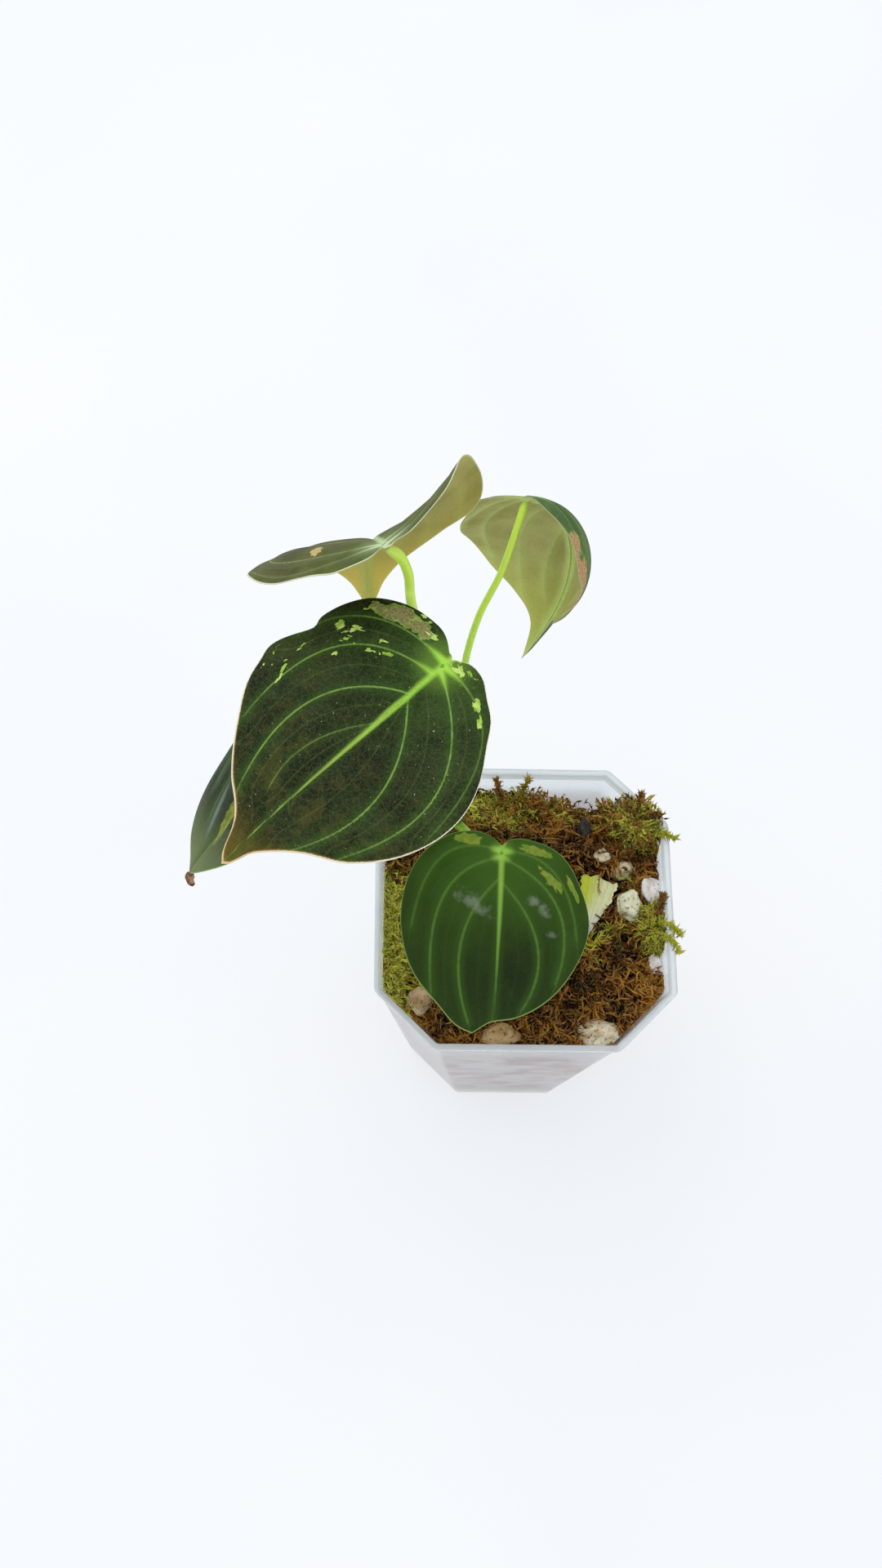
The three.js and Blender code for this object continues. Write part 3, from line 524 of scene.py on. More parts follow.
def blade_point(leaf, x, y):
    """The place on a bent blade of the flat point x to the right and y towards the tip from its base."""
    length = leaf["left"][0]
    first, last = leaf["arch"]

    def pitch_at(s):
        ahead = first * s + (last - first) * s * s / (2 * length)
        return np.radians(np.where(s < 0, leaf["arch_back"] * s, ahead))

    to_tip = np.clip(y / length, 0, 1)
    fold, curl = [np.radians(by_side(x, leaf[key], to_tip)) for key in ("fold", "curl")]
    reach = np.abs(x)
    out = np.sign(x) * reach * mean_of(lambda t: np.cos(fold + curl * reach * t))
    up = reach * mean_of(lambda t: np.sin(fold + curl * reach * t))
    twist = np.radians(leaf["twist"] * y)
    right = out * np.cos(twist) + up * np.sin(twist)
    lift = up * np.cos(twist) - out * np.sin(twist)
    bend = pitch_at(y)
    ahead = y * mean_of(lambda t: np.cos(pitch_at(y * t))) + lift * np.sin(bend)
    above = -y * mean_of(lambda t: np.sin(pitch_at(y * t))) + lift * np.cos(bend)
    across, along, normal = leaf_axes(leaf)
    return np.array(leaf["base"]) + right[:, None] * across + ahead[:, None] * along + above[:, None] * normal


def outward_distance(curve, x, y):
    """Signed distance of points from a curve, positive on its right."""
    nearest = np.full(len(x), np.inf)
    side = np.ones(len(x))
    for (ax, ay), (bx, by) in zip(curve, curve[1:]):
        dx, dy = bx - ax, by - ay
        t = np.clip(((x - ax) * dx + (y - ay) * dy) / (dx * dx + dy * dy), 0, 1)
        px, py = x - ax - t * dx, y - ay - t * dy
        distance = px * px + py * py
        closer = distance < nearest
        nearest = np.where(closer, distance, nearest)
        side = np.where(closer, px * dy - py * dx, side)
    return np.sqrt(nearest) * np.where(side < 0, -1, 1)


def vein_numbers(leaf, x, y):
    """The vein number of flat points, whole on each vein and 0 on the midrib, and the room between veins."""
    length = leaf["left"][0]
    number, room = np.zeros(len(x)), np.ones(len(x))
    last_room = 0.19 * length
    for side, sign in (("left", -1), ("right", 1)):
        here = x * sign >= 0
        px, py = (x * sign)[here], y[here]
        t = np.linspace(0, 1, 25)[:, None]
        curves = [np.array([(0, 0), (0, length)])]
        for start, control, end in leaf["veins"][side]:
            first = np.array((0, start))
            curves.append(first * (1 - t)**2 + np.array(control) * 2 * t * (1 - t) + np.array(end) * t**2)
        distances = [outward_distance(curve, px, py) for curve in curves]
        n = len(curves) - 1
        value, gap = n + np.maximum(distances[n], 0) / last_room, np.full(len(px), last_room)
        for k in range(n - 1, -1, -1):
            inner, outer = distances[k], -distances[k + 1]
            between = (inner >= 0) & (outer > 0)
            value = np.where(between, k + inner / np.maximum(inner + outer, 1e-6), value)
            gap = np.where(between, inner + outer, gap)
        number[here], room[here] = value, gap
    return number, room


def patches(marks, x, y):
    """How far flat points lie inside soft patches, from 0 to about 1."""
    total = np.zeros(len(x))
    for cx, cy, half_length, half_width, turn, strength in marks:
        c, s = math.cos(math.radians(turn)), math.sin(math.radians(turn))
        along = ((x - cx) * c + (y - cy) * s) / half_length
        across = ((y - cy) * c - (x - cx) * s) / half_width
        total = np.maximum(total, strength * np.exp(-(along**2 + across**2) * 0.7))
    return total


def leaf_piece(name, leaf, rays, rings, materials, slot, seed):
    """A thin blade with sunken veins above, raised ones below and a rounded, slightly waved margin."""
    # Flat points, in rings round the base
    length = leaf["left"][0]
    turn = 2 * np.arange(rays) / rays - 1
    angle = 180 * np.abs(turn)**1.25
    signed = angle * np.sign(turn)
    radius = np.where(turn < 0, *[outline_radius(leaf[side], angle) for side in ("left", "right")])
    for at, width, height in leaf.get("waves", []):
        radius = radius + height * np.exp(-((signed - at) / width)**2)
    share = np.concatenate([(np.arange(1, rings) / rings), [BESIDE_EDGE, 1]])
    reach = np.concatenate([[0], (share[:, None] * radius).ravel()])
    theta = np.radians(np.concatenate([[0], np.tile(signed, len(share))]))
    x, y = reach * np.sin(theta), reach * np.cos(theta)
    edge = np.concatenate([[2], ((1 - share[:, None]) * radius).ravel()])
    share_all = np.concatenate([[0], np.repeat(share, rays)])
    base_distance = np.hypot(x, y)

    # Veins
    middle, tip = leaf["rib"]
    u = np.clip(y / length, 0, 1)
    from_rib = x - (middle * 4 * u * (1 - u) + tip * u * (2 * u - 1))
    number, room = vein_numbers(leaf, from_rib, y)
    to_vein = np.abs(number - np.round(number)) * room
    nearest = np.maximum(np.round(number).astype(int), 1) - 1
    strengths = [np.array(half) for half in leaf.get("strong", ((1, 1, 0.8), (1, 1, 0.8)))]
    strong = np.where(x < 0, *[half[np.minimum(nearest, len(half) - 1)] for half in strengths])

    # The bent blade's middle, and how far its two faces lie from it
    centre = blade_point(leaf, x, y)
    step = 0.1
    normal = unit(np.cross(
        blade_point(leaf, x + step, y) - blade_point(leaf, x - step, y),
        blade_point(leaf, x, y + step) - blade_point(leaf, x, y - step),
    ))
    fade = smooth(edge, 0, 6) * smooth(base_distance, 1, 10)
    quilt = leaf["quilt"] * (1 - np.exp(-(to_vein / 1.8)**2)) * fade
    groove = -0.18 * np.exp(-(from_rib / (0.9 - 0.6 * u))**2) * smooth(y, 0, 4)
    wave = BLADE["wave"] * share_all**4 * (np.sin(theta * 5 + seed) + 0.6 * np.sin(theta * 11 + 2 * seed))
    wave = wave * smooth(180 - np.abs(np.degrees(theta)), 0, 50)
    half = mix(BLADE["edge_thickness"], BLADE["thickness"], smooth(edge, 0, 3)) / 2
    half = half * np.where(share_all >= 1, 0.15, np.where(share_all >= BESIDE_EDGE, 0.7, 1))
    rib = BLADE["rib_depth"] * (1 - 0.95 * u) * np.exp(-(from_rib / (1.1 - 0.8 * u))**2)
    rib = rib * smooth(edge, 0, 2) * smooth(y, -2.5, 0)
    ridge = BLADE["vein_depth"] * np.exp(-(to_vein / 0.35)**2) * fade
    lift = (quilt + wave - 0.5 * leaf["quilt"] * fade)[:, None]
    upper = centre + normal * (lift + (half + groove)[:, None])
    lower = centre + normal * (lift - (half + rib + ridge)[:, None])

    # Faces of both sides and the edge
    ray = np.arange(rays)
    fan = np.stack([np.zeros(rays, int), 1 + (ray + 1) % rays, 1 + ray], 1)
    quads = grid_faces(len(share), rays, 1)[:, ::-1]
    count = len(x)
    rim = 1 + (len(share) - 1) * rays
    near, far = rim + ray, rim + (ray + 1) % rays
    faces = [fan, fan[:, ::-1] + count, quads, quads[:, ::-1] + count,
             np.stack([near, far, far + count, near + count], 1)]
    is_under = np.repeat([0, 1, 0, 1, 0], [len(rows) for rows in faces])
    fields = dict(
        flat=np.stack([x, y, np.full(count, seed * 7.0)], 1) * MM, margin=by_side(x, leaf["margin"], u**2),
        rib=np.abs(from_rib), along=u, edge=edge, reach=base_distance, vein=number, room=room, strong=strong,
        **{mark: patches(leaf.get(mark, []), x, y) for mark in MARKS},
    )
    fields = {key: np.concatenate([value, value]) for key, value in fields.items()}
    node = "leaf_" + name
    make_piece(node + "_blade", np.vstack([upper, lower]), faces, fields, materials, slot, node, is_under)


def leaf_upper_skin(name, look):
    """Upper side: mottled ground, fine veins, main veins, midrib, pale margin, flecks and dead tissue."""
    skin = Skin(name, look.roughness, Specular_IOR_Level=look.gloss, Sheen_Weight=look.sheen,
                Sheen_Roughness=0.4, Sheen_Tint=look.sheen_tint, Coat_Weight=look.coat, Coat_Roughness=0.3)
    flat = skin.flat()
    along, reach, edge, number, room, rib = skin.fields("along", "reach", "edge", "vein", "room", "rib")
    strong, dark, lime, dead, scuff, margin_width = skin.fields("strong", *MARKS, "margin")
    to_vein = skin.times(skin.math("PINGPONG", number, 0.5), room)
    to_fine = skin.times(skin.math("PINGPONG", skin.plus(number, 0.5), 0.5), room)
    speckle, grain, clouds = skin.noise(flat, 0.3, 2), skin.noise(flat, 0.9, 2), skin.noise(flat, 5, 4, 0.6)

    # Ground: greener at the base and along the veins, bronze in blotches, and darkened by painted shade
    # towards the tip and next to the midrib
    mottle = skin.band(skin.noise(flat, 10, 3, 0.4), 0.38, 0.62, 0, look.mottle)
    skin.ground = skin.blend(mottle, look.ground, look.ground_dark)
    # Painted shade, darker towards the tip
    skin.paint(skin.band(along, 0.15, 0.9, 0, look.deepening), look.ground_dark)
    # Painted shade next to the midrib
    painted_rib_shade = skin.times(skin.band(rib, 1, 13, 1, 0), skin.band(along, 0.2, 0.55), look.shade)
    skin.paint(painted_rib_shade, look.ground_dark)
    # Dark patches of deeper green; on the low leaf they are painted shade
    skin.paint(skin.times(dark, skin.band(clouds, 0.3, 0.55, 0.5, 1), 0.9), look.deep)
    aged = skin.times(skin.band(clouds, 0.47, 0.62), skin.band(along, 0.15, 0.7, 0, 1), look.aging)
    skin.paint(aged, look.aged)
    skin.paint(skin.band(along, look.tip_from, 1.0, 0, look.tip_share), look.tip)
    skin.paint(skin.band(reach, 2, look.green_reach, look.green_share, 0), look.green)
    skin.paint(skin.times(skin.band(to_vein, 0.1, 2.4, look.halo, 0), strong), look.green)
    skin.paint(skin.band(speckle, 0.4, 0.8, 0, look.speckle), look.pale)
    skin.paint(skin.band(skin.noise(flat, 0.45, 1), 0.775, 0.8, 0, look.specks), look.margin)
    skin.paint(skin.times(skin.band(skin.cells(flat, 1.5), 0.02, 0.16, look.net, 0), grain), look.vein)

    # Veins: fine ones half way between the main ones, then those and the midrib, fuzzy at their edges
    fuzz = skin.times(skin.plus(speckle, -0.5), look.fuzz)
    skin.paint(skin.times(skin.band(to_fine, 0.05, 0.3, look.fine, 0), skin.band(reach, 3, 10)), look.vein)
    width = look.vein_width
    main = skin.times(
        skin.band(skin.plus(to_vein, skin.times(fuzz, width)), width * 0.3, width, 1, 0),
        skin.band(skin.noise(flat, 2.2, 3), 0.2, 0.6, 0.5, 1),
        skin.band(edge, 0.5, 9, 0.3, look.vein_share), strong)
    skin.paint(main, look.vein)
    rays = skin.band(skin.plus(to_vein, skin.times(reach, 0.12)), 0.3, 1.6, 1, 0.25)
    skin.paint(skin.times(skin.band(reach, 1.0, look.glow_reach, 1, 0), rays), look.rib)
    rib_line = skin.plus(skin.math("DIVIDE", rib, skin.band(along, 0, 0.85, look.rib_width, 0.22)), fuzz)
    rib_share = skin.times(skin.band(rib_line, 0.1, 1.25, 1, 0), skin.band(speckle, 0.25, 0.6, 0.5, 0.95),
                           skin.band(along, 0.3, 1, 1, look.rib_end))
    skin.paint(rib_share, skin.blend(skin.band(along, 0.05, 0.9), look.rib, look.rib_tip))

    # Marks: lime flecks drawn out along the veins, dead patches, scuffs and the margin
    lanes = {0: skin.times(number, 8 * MM), 1: skin.times(reach, 0.5 * MM)}
    ragged = skin.plus(skin.noise(skin.node("ShaderNodeCombineXYZ", lanes), 1.1, 5, 0.3), -0.5)
    torn = skin.plus(lime, skin.times(ragged, look.lime_torn))
    flecks = skin.band(torn, look.lime_start, look.lime_start + 0.15)
    lime_colour = skin.blend(skin.band(skin.noise(flat, 2.2, 2), 0.35, 0.65), look.lime, look.lime_pale)
    skin.paint(skin.times(flecks, skin.band(lime, 0.15, 0.3)), lime_colour)
    worn = skin.plus(dead, skin.times(ragged, 1.3))
    skin.paint(skin.band(worn, 0.3, 0.4, 0, look.dead_border), lime_colour)
    holes = skin.band(skin.noise(flat, 2.4, 4, 0.6), 0.4, 0.44)
    dead_share = skin.times(skin.band(worn, 0.44, 0.54), skin.math("MAXIMUM", holes, look.dead_whole))
    dead_colour = skin.blend(skin.band(skin.noise(flat, 0.5, 3), 0.35, 0.65), look.dead, look.dead_dark)
    skin.paint(dead_share, dead_colour)
    rubbed = skin.times(skin.plus(skin.noise(flat, 1.8, 4), -0.5), look.scuff_torn)
    skin.paint(skin.band(skin.plus(scuff, rubbed), 0.3, 1.2, 0, 0.6), look.scuff)
    margin = skin.math("DIVIDE", skin.plus(edge, skin.times(fuzz, 0.35)), margin_width)
    skin.paint(skin.times(skin.band(margin, 0.5, 1.3, 0.85, 0), skin.band(along, 0.4, 0.7)), look.singed)
    margin_colour = skin.blend(skin.band(along, 0.6, 1), look.margin, look.margin_tip)
    skin.paint(skin.band(margin, 0.4, 0.75, 0.95, 0), margin_colour)
    height = skin.plus(skin.times(speckle, 0.5), skin.times(grain, 0.5))
    return skin.finish(skin.plus(height, skin.times(dead_share, -0.6)), look.bump)


def leaf_under_skin(name, look):
    """Underside: a matt, paler ground with the veins standing out in a lighter green."""
    skin = Skin(name, 0.7, (0.15, 0.6, 0.9, 0.2), Specular_IOR_Level=0.15, Sheen_Weight=0.05,
                Sheen_Roughness=0.5, Sheen_Tint=look.sheen_tint)
    flat = skin.flat()
    along, reach, edge, number, room, rib = skin.fields("along", "reach", "edge", "vein", "room", "rib")
    to_vein = skin.times(skin.math("PINGPONG", number, 0.5), room)
    grain = skin.noise(flat, 0.8, 3)
    skin.ground = skin.blend(skin.band(skin.noise(flat, 9, 3), 0.35, 0.65), look.under, look.under_dark)
    skin.paint(skin.band(along, 0.42, 0.92), look.under_tip)
    for distance, near, far, share in (
            (to_vein, 0.3, 2.4, 0.22), (to_vein, 0.1, 0.6, 0.16), (rib, 0.4, 3.0, 0.85), (reach, 0, 12, 0.6)):
        skin.paint(skin.band(distance, near, far, share, 0), look.under_vein)
    skin.paint(skin.band(skin.cells(flat, 1.3), 0.02, 0.14, 0.12, 0), look.under_dark)
    skin.paint(skin.band(grain, 0.35, 0.75, 0, 0.15), look.under_vein)
    ragged = skin.plus(skin.noise(flat, 1.6, 4, 0.4), -0.5)
    dead = skin.band(skin.plus(*skin.fields("dead"), ragged), 0.45, 0.6)
    skin.paint(dead, skin.blend(skin.band(grain, 0.3, 0.7), look.dead, look.dead_dark))
    skin.paint(skin.band(edge, 0.2, 0.6, 0.6, 0), look.margin)
    return skin.finish(grain, 0.08)


# Leaf looks. Shares are from 0 to 1, and widths are in millimetres. DARK_LEAF's values hold where a look has
# none of its own.
DARK_LEAF = dict(
    roughness=0.6, gloss=0.08, sheen=0.0, sheen_tint="b0b8a0", coat=0.0, bump=0.12, ground="2c381a",
    ground_dark="161c0c", deep="0c1007", mottle=1.0, deepening=0.3, shade=0.85, aged="45421c", aging=0.55,
    tip="685a1e", tip_from=0.75, tip_share=0.88, scuff_torn=1.6, green="33561d", green_reach=26,
    green_share=0.4, halo=0.45, pale="7c8c58", speckle=0.16, specks=0.7, net=0.08, fuzz=1.1, fine=0.07,
    vein="8bab52", vein_width=0.3, vein_share=0.72, rib="a6dc50", rib_tip="959a50", rib_width=1.15,
    rib_end=0.6, glow_reach=9, lime="8fb83c", lime_pale="c4de78", lime_torn=3.4, lime_start=0.7,
    dead="9c9264", dead_dark="727044", dead_border=0.55, dead_whole=0.0, scuff="8f9a86", margin="e9e6cc",
    margin_tip="e6c79a", singed="94713a", under="8a8462", under_dark="6f6e4c", under_tip="9c7c50",
    under_vein="9aa860",
)
LEAF_LOOKS = dict(
    front=DARK_LEAF,
    left=dict(
        DARK_LEAF,
        ground="2f3d1d", ground_dark="1e2a13", aging=0.0, roughness=0.45, gloss=0.12, shade=0.3, sheen=0.02,
        # The pale bluish grey of this leaf's midrib is partly its own colour and partly a painted reflection
        # of gloss along it
        sheen_tint="a9bdc4", vein="7f9468", rib="93a488", rib_tip="8f9f74", rib_width=1.0, dead="6f7c34",
        dead_dark="5c6a2c", specks=0.0, margin="8fa06a", margin_tip="9fae62", speckle=0.05, vein_share=0.3,
        fine=0.03, glow_reach=5, lime="6a7628", lime_pale="858f38", lime_torn=0.9, lime_start=0.4,
        singed="8fa06a", deep="16220f", tip="7e8d56", tip_from=0.66, tip_share=0.62, deepening=0.0,
        scuff="788a80", scuff_torn=0.4,
    ),
    low=dict(
        DARK_LEAF,
        roughness=0.42, gloss=0.12, coat=0.02, bump=0.06, ground="33500f", ground_dark="223409",
        deep="132107", tip_share=0.0, mottle=0.35, deepening=0.75, shade=0.3, aging=0.0, green="446f1e",
        green_share=0.6, green_reach=24, halo=0.3, pale="4f6f34", speckle=0.08, specks=0.0, net=0.03,
        fuzz=0.6, fine=0.03, vein="6d9440", vein_width=0.5, vein_share=0.5, rib="a2d456", rib_tip="4c7a2c",
        rib_width=1.0, rib_end=0.45, glow_reach=4, lime="70902a", lime_pale="8f9c3e", lime_torn=1.4,
        lime_start=0.45, margin="829a56", singed="829a56", margin_tip="94aa50",
    ),
    top=dict(
        DARK_LEAF,
        ground="565826", ground_dark="3c401a", deep="2d3213", aged="5a5428", aging=0.4, tip="5a5428",
        green="5a6e28", green_share=0.5, halo=0.2, pale="8f9468", vein="a3a578", sheen=0.04, rib="c3d9a4",
        rib_tip="a3a684", rib_width=1.2, glow_reach=9, dead="cbb678", dead_dark="b39b5e", dead_whole=1.0,
        dead_border=0.0, margin="d4dab8", margin_tip="d4dab8", singed="8a8b5a", vein_share=0.6, specks=0.2,
        under="a69c58", under_dark="948c48", under_tip="dcc45a", under_vein="b8bc60",
    ),
    back=dict(
        DARK_LEAF,
        ground="5f7a45", ground_dark="4a6436", deep="3a5028", tip_share=0.0, deepening=0.0, aging=0.1,
        shade=0.2, specks=0.5, dead="cfa47c", dead_dark="9c7a48", dead_whole=1.0, dead_border=0.3,
        lime_torn=1.5, lime_start=0.5, margin="b9b98f", margin_tip="b9b98f", singed="8f9a5a",
        under="b9b678", under_dark="a39e60", under_tip="c6c86c", under_vein="d2e692",
    ),
)
LEAF_SLOTS = dict(low="leaf_fresh", front="leaf_dark", left="leaf_dark", top="leaf_olive", back="leaf_olive")


def stalk_skin():
    """Lime green, paler towards the blade, with faint lengthwise streaks."""
    skin = Skin("stalk_skin", 0.42, (0.25, 1.2, 1.6, 0.3), Coat_Weight=0.1, Coat_Roughness=0.3)
    place, (along,) = skin.place(), skin.fields("along")
    skin.ground = skin.blend(skin.band(along, 0, 0.8), "8cbc2c", "cdf048")
    skin.paint(skin.band(skin.noise(place, 1.2, 4), 0.35, 0.7, 0, 0.35), "d6f47c")
    skin.paint(skin.band(along, 0.96, 0.99, 0, 0.5), "d2e878")
    return skin.finish(skin.noise(place, 0.5, 3), 0.05)


def stem_skin():
    """Green stem, browner towards the moss."""
    skin = Skin("stem_skin", 0.5, (0.1, 1.0, 1.2, 0.3))
    place, (along,) = skin.place(), skin.fields("along")
    skin.ground = skin.blend(skin.band(along, 0.3, 0.6), "5a5126", "5f8230")
    skin.paint(skin.band(skin.noise(place, 1.5, 4), 0.4, 0.7, 0, 0.5), "86a24c")
    return skin.finish(skin.noise(place, 0.8, 4), 0.15)


def stalk_piece(name, leaf, material):
    """A stalk with a flared foot, and a joint that swells where it meets the blade's underside."""
    def relief(along, turns):
        joint = 0.14 * math.exp(-((along - 0.97) / 0.025)**2)
        channel = -0.1 * np.exp(-((turns - math.pi) / 0.5)**2)
        return (1 + joint + channel) * (1 - 0.45 * smooth(along, 0.975, 1.0))

    end = np.array(leaf["base"]) - STALK_END[name] * leaf_axes(leaf)[2]
    route = [*leaf["stalk"][:-1], end]
    body = bar(route, STALK_RADII[name], *STALK_GRID, relief)
    node = "stalk_" + name
    make_piece(node + "_skin", *body, [material], "stalk_skin", node)


def dried_tip_piece(leaf):
    """The brown curled end of the left leaf's tip."""
    skin = Skin("dried_tip", 0.8, Specular_IOR_Level=0.1)
    place = skin.place()
    skin.ground = skin.blend(skin.band(skin.noise(place, 1.1, 4), 0.35, 0.65), "a98a70", "6b4a34")
    material = skin.finish(skin.noise(place, 0.6, 3), 0.15)

    def relief(along, turns):
        return 1 + 0.75 * np.abs(np.cos(turns)) + 0.25 * np.sin(2 * turns + 9 * along)

    tip = blade_point(leaf, np.zeros(1), np.array([leaf["left"][0] - 0.4]))[0]
    body = bar(tip + np.array(leaf["dried_tip"]), [0.45, 0.6, 0.55, 0.2], *DRIED_TIP_GRID, relief)
    make_piece("leaf_left_dried_tip", *body, [material], "leaf_dark")


def stem_piece(material):
    """The stem with a swollen ring where each stalk leaves it."""
    bottom, top = STEM["points"][0][2], STEM["points"][-1][2]
    rings = [(leaf["stalk"][0][2] - bottom) / (top - bottom) for leaf in LEAVES.values()]

    def relief(along, turns):
        swell = sum(0.14 * math.exp(-((along - ring) / 0.012)**2) for ring in rings)
        return 1 + swell + 0.03 * np.sin(3 * turns + 9 * along)

    body = bar(STEM["points"], STEM["radii"], *STEM_GRID, relief)
    make_piece("stem_skin", *body, [material], "stem_skin", "stem")


# Pot


def rounded_octagon(z, out):
    """The pot's section at a height, moved out from its outer wall, with its corners rounded."""
    share = z / POT["height"]
    width = mix(POT["foot_width"], POT["rim_width"] - 2 * POT["lip_out"], share) + 2 * out
    cut = mix(POT["foot_cut"], POT["rim_cut"], share) + out * (2 - math.sqrt(2))
    h, k = width / 2, width / 2 - cut
    corners = np.array([(k, -h), (h, -k), (h, k), (k, h), (-k, h), (-h, k), (-h, -k), (-k, -h)])
    radius = max(POT["corner_radius"] + out, 0.4)
    points = []
    for corner, before, after in zip(corners, np.roll(corners, 1, 0), np.roll(corners, -1, 0)):
        tangent = radius * math.tan(math.pi / 8)
        start = corner + tangent * unit(before - corner)
        end = corner + tangent * unit(after - corner)
        for t in np.linspace(0, 1, 6):
            points.append(start * (1 - t)**2 + corner * 2 * t * (1 - t) + end * t**2)
        for t in (0.2, 0.4, 0.6, 0.8):
            following = after + tangent * unit(corner - after)
            points.append(mix(end, following, t))
    return [(x, y, z) for x, y in points]


def pot_skin():
    """Clear glossy plastic, hazier low down and greyed by painted shade towards the foot. In level drifts
    where moss presses on the wall, the moss's dingy colour seen through it is painted in, and the wall is
    clearer there.
    """
    skin = Skin("pot_plastic", 0.22, IOR=1.15, Specular_IOR_Level=0.3, Coat_Weight=0.4, Coat_Roughness=0.12)
    place = skin.place()
    height = skin.node("ShaderNodeSeparateXYZ", {"Vector": place}, 2)
    level = skin.node("ShaderNodeMapping", {"Vector": place, "Scale": (0.5, 0.5, 1.0)})

    def by_height(low, high, start=0.0, end=1.0):
        return skin.band(height, low * MM, high * MM, start, end)

    drift = skin.band(skin.noise(level, 5, 5, 0.25), 0.36, 0.72)
    moss_seen_through = skin.times(drift, skin.times(by_height(66, 82, 1, 0), by_height(2, 20, 0.4, 1)))
    skin.ground = skin.blend(by_height(70, 84), "f0eff0", "f6fcff")
    # Greyer towards the foot: painted shade
    skin.paint(by_height(4, 26, 0.8, 0), "c4c0bc")
    # The moss's colour seen through the wall, painted into the drifts
    skin.paint(moss_seen_through, "c4aaa4")
    lip = POT["height"] - POT["lip_height"]
    wall = skin.plus(by_height(78, 84, 0.74, 0.92), by_height(lip - 0.6, lip, 0, -0.45))
    clear = skin.math("ADD", wall, skin.times(moss_seen_through, 0.14), clamp=True)
    skin.feed(skin.shader.inputs["Transmission Weight"], clear)
    return skin.finish(skin.noise(level, 7, 1), 0.04)


def pot_piece():
    """A thin shell with a rolled lip and drain holes."""
    lip, top, wall, floor = POT["height"] - POT["lip_height"], POT["height"], POT["wall"], POT["floor"]
    out = POT["lip_out"]
    profile = [(0, -1.2), (0.15, -0.5), (0.5, -0.12), (1.2, 0)]
    profile += [(z, 0) for z in np.linspace(6, lip - 0.6, 14)]
    profile += [(lip - 0.2, 0.12), (lip, 0.55), (lip + 0.3, out), (top - 0.5, out), (top - 0.12, out - 0.15),
                (top, out - 0.5), (top, -wall + 0.5), (top - 0.15, -wall + 0.12), (top - 0.5, -wall)]
    profile += [(z, -wall) for z in np.linspace(lip, floor + 2, 14)]
    profile += [(floor + 0.6, -wall - 0.35), (floor, -wall - 1.4)]
    rings = [rounded_octagon(z, offset) for z, offset in profile]
    piece = make_piece("pot_shell", *loft(rings), {}, [pot_skin()], "pot_plastic", "pot")
    group = bpy.data.collections.new("drills")
    for k in range(POT["drain_count"]):
        turn = (k + 0.5) / POT["drain_count"] * 2 * math.pi
        at = [POT["drain_ring"] * way(turn) * MM for way in (math.cos, math.sin)]
        bpy.ops.mesh.primitive_cylinder_add(
            vertices=40, radius=POT["drain_radius"] * MM, depth=8 * MM, location=(*at, 0))
        group.objects.link(bpy.context.object)
    cut = piece.modifiers.new("drain_holes", "BOOLEAN")
    cut.operand_type, cut.collection, cut.solver = "COLLECTION", group, "EXACT"
    with bpy.context.temp_override(object=piece):
        bpy.ops.object.modifier_apply(modifier=cut.name)
    for drill in list(group.objects):
        bpy.data.objects.remove(drill)
    bpy.data.collections.remove(group)


# Moss


def bed_height(x, y):
    """Height of the moss bed's top."""
    hollow, (long, middle, short) = BED["hollow"], BED["swell"]
    height = BED["top"] + (long * np.sin(0.23 * x + 0.5) * np.cos(0.19 * y - 0.4)
                           + middle * np.sin(0.51 * x - 0.37 * y + 1) + short * np.sin(0.33 * x + 0.62 * y))
    across = np.exp(-((x - hollow["x"]) / hollow["width"])**2)
    height = height - hollow["depth"] * across * smooth(y, hollow["start"], hollow["end"])
    rises = (rise * np.exp(-((x - a)**2 + (y - b)**2) / wide**2) for a, b, wide, rise in BED["rises"])
    return height + sum(rises)


def pot_reach(x, y, z, inset):
    """How far points are from the pot's axis, where 1 is its outer wall less an inset."""
    share = np.clip(z / POT["height"], 0, 1)
    half = mix(POT["foot_width"], POT["rim_width"] - 2 * POT["lip_out"], share) / 2 - inset
    cut = mix(POT["foot_cut"], POT["rim_cut"], share)
    ax, ay = np.abs(x), np.abs(y)
    return np.maximum(np.maximum(ax, ay) / half, (ax + ay) / (2 * half - cut))


def ripple(x, y, z, size, seed):
    """A smooth lumpy field of about -1 to 1, with lumps of a size in millimetres."""
    k = 2 * math.pi / size
    return (np.sin(k * (x + 0.3 * z) + seed) * np.sin(k * (0.9 * y - 0.4 * x) + 2 * seed)
            + 0.5 * np.sin(k * (1.7 * z + 0.8 * y) + 3 * seed) * np.sin(k * (1.9 * x - y) + seed)
            + 0.3 * np.sin(k * (3.1 * x + 2.3 * y) + seed) * np.sin(k * (2.7 * y - 3 * z) - seed)) / 1.4


def clumps(x, y):
    """The moss's clumps and hollows between them."""
    return 1.1 * ripple(x, y, 0, 14, 3) + 0.8 * ripple(x, y, 0, 7, 6)


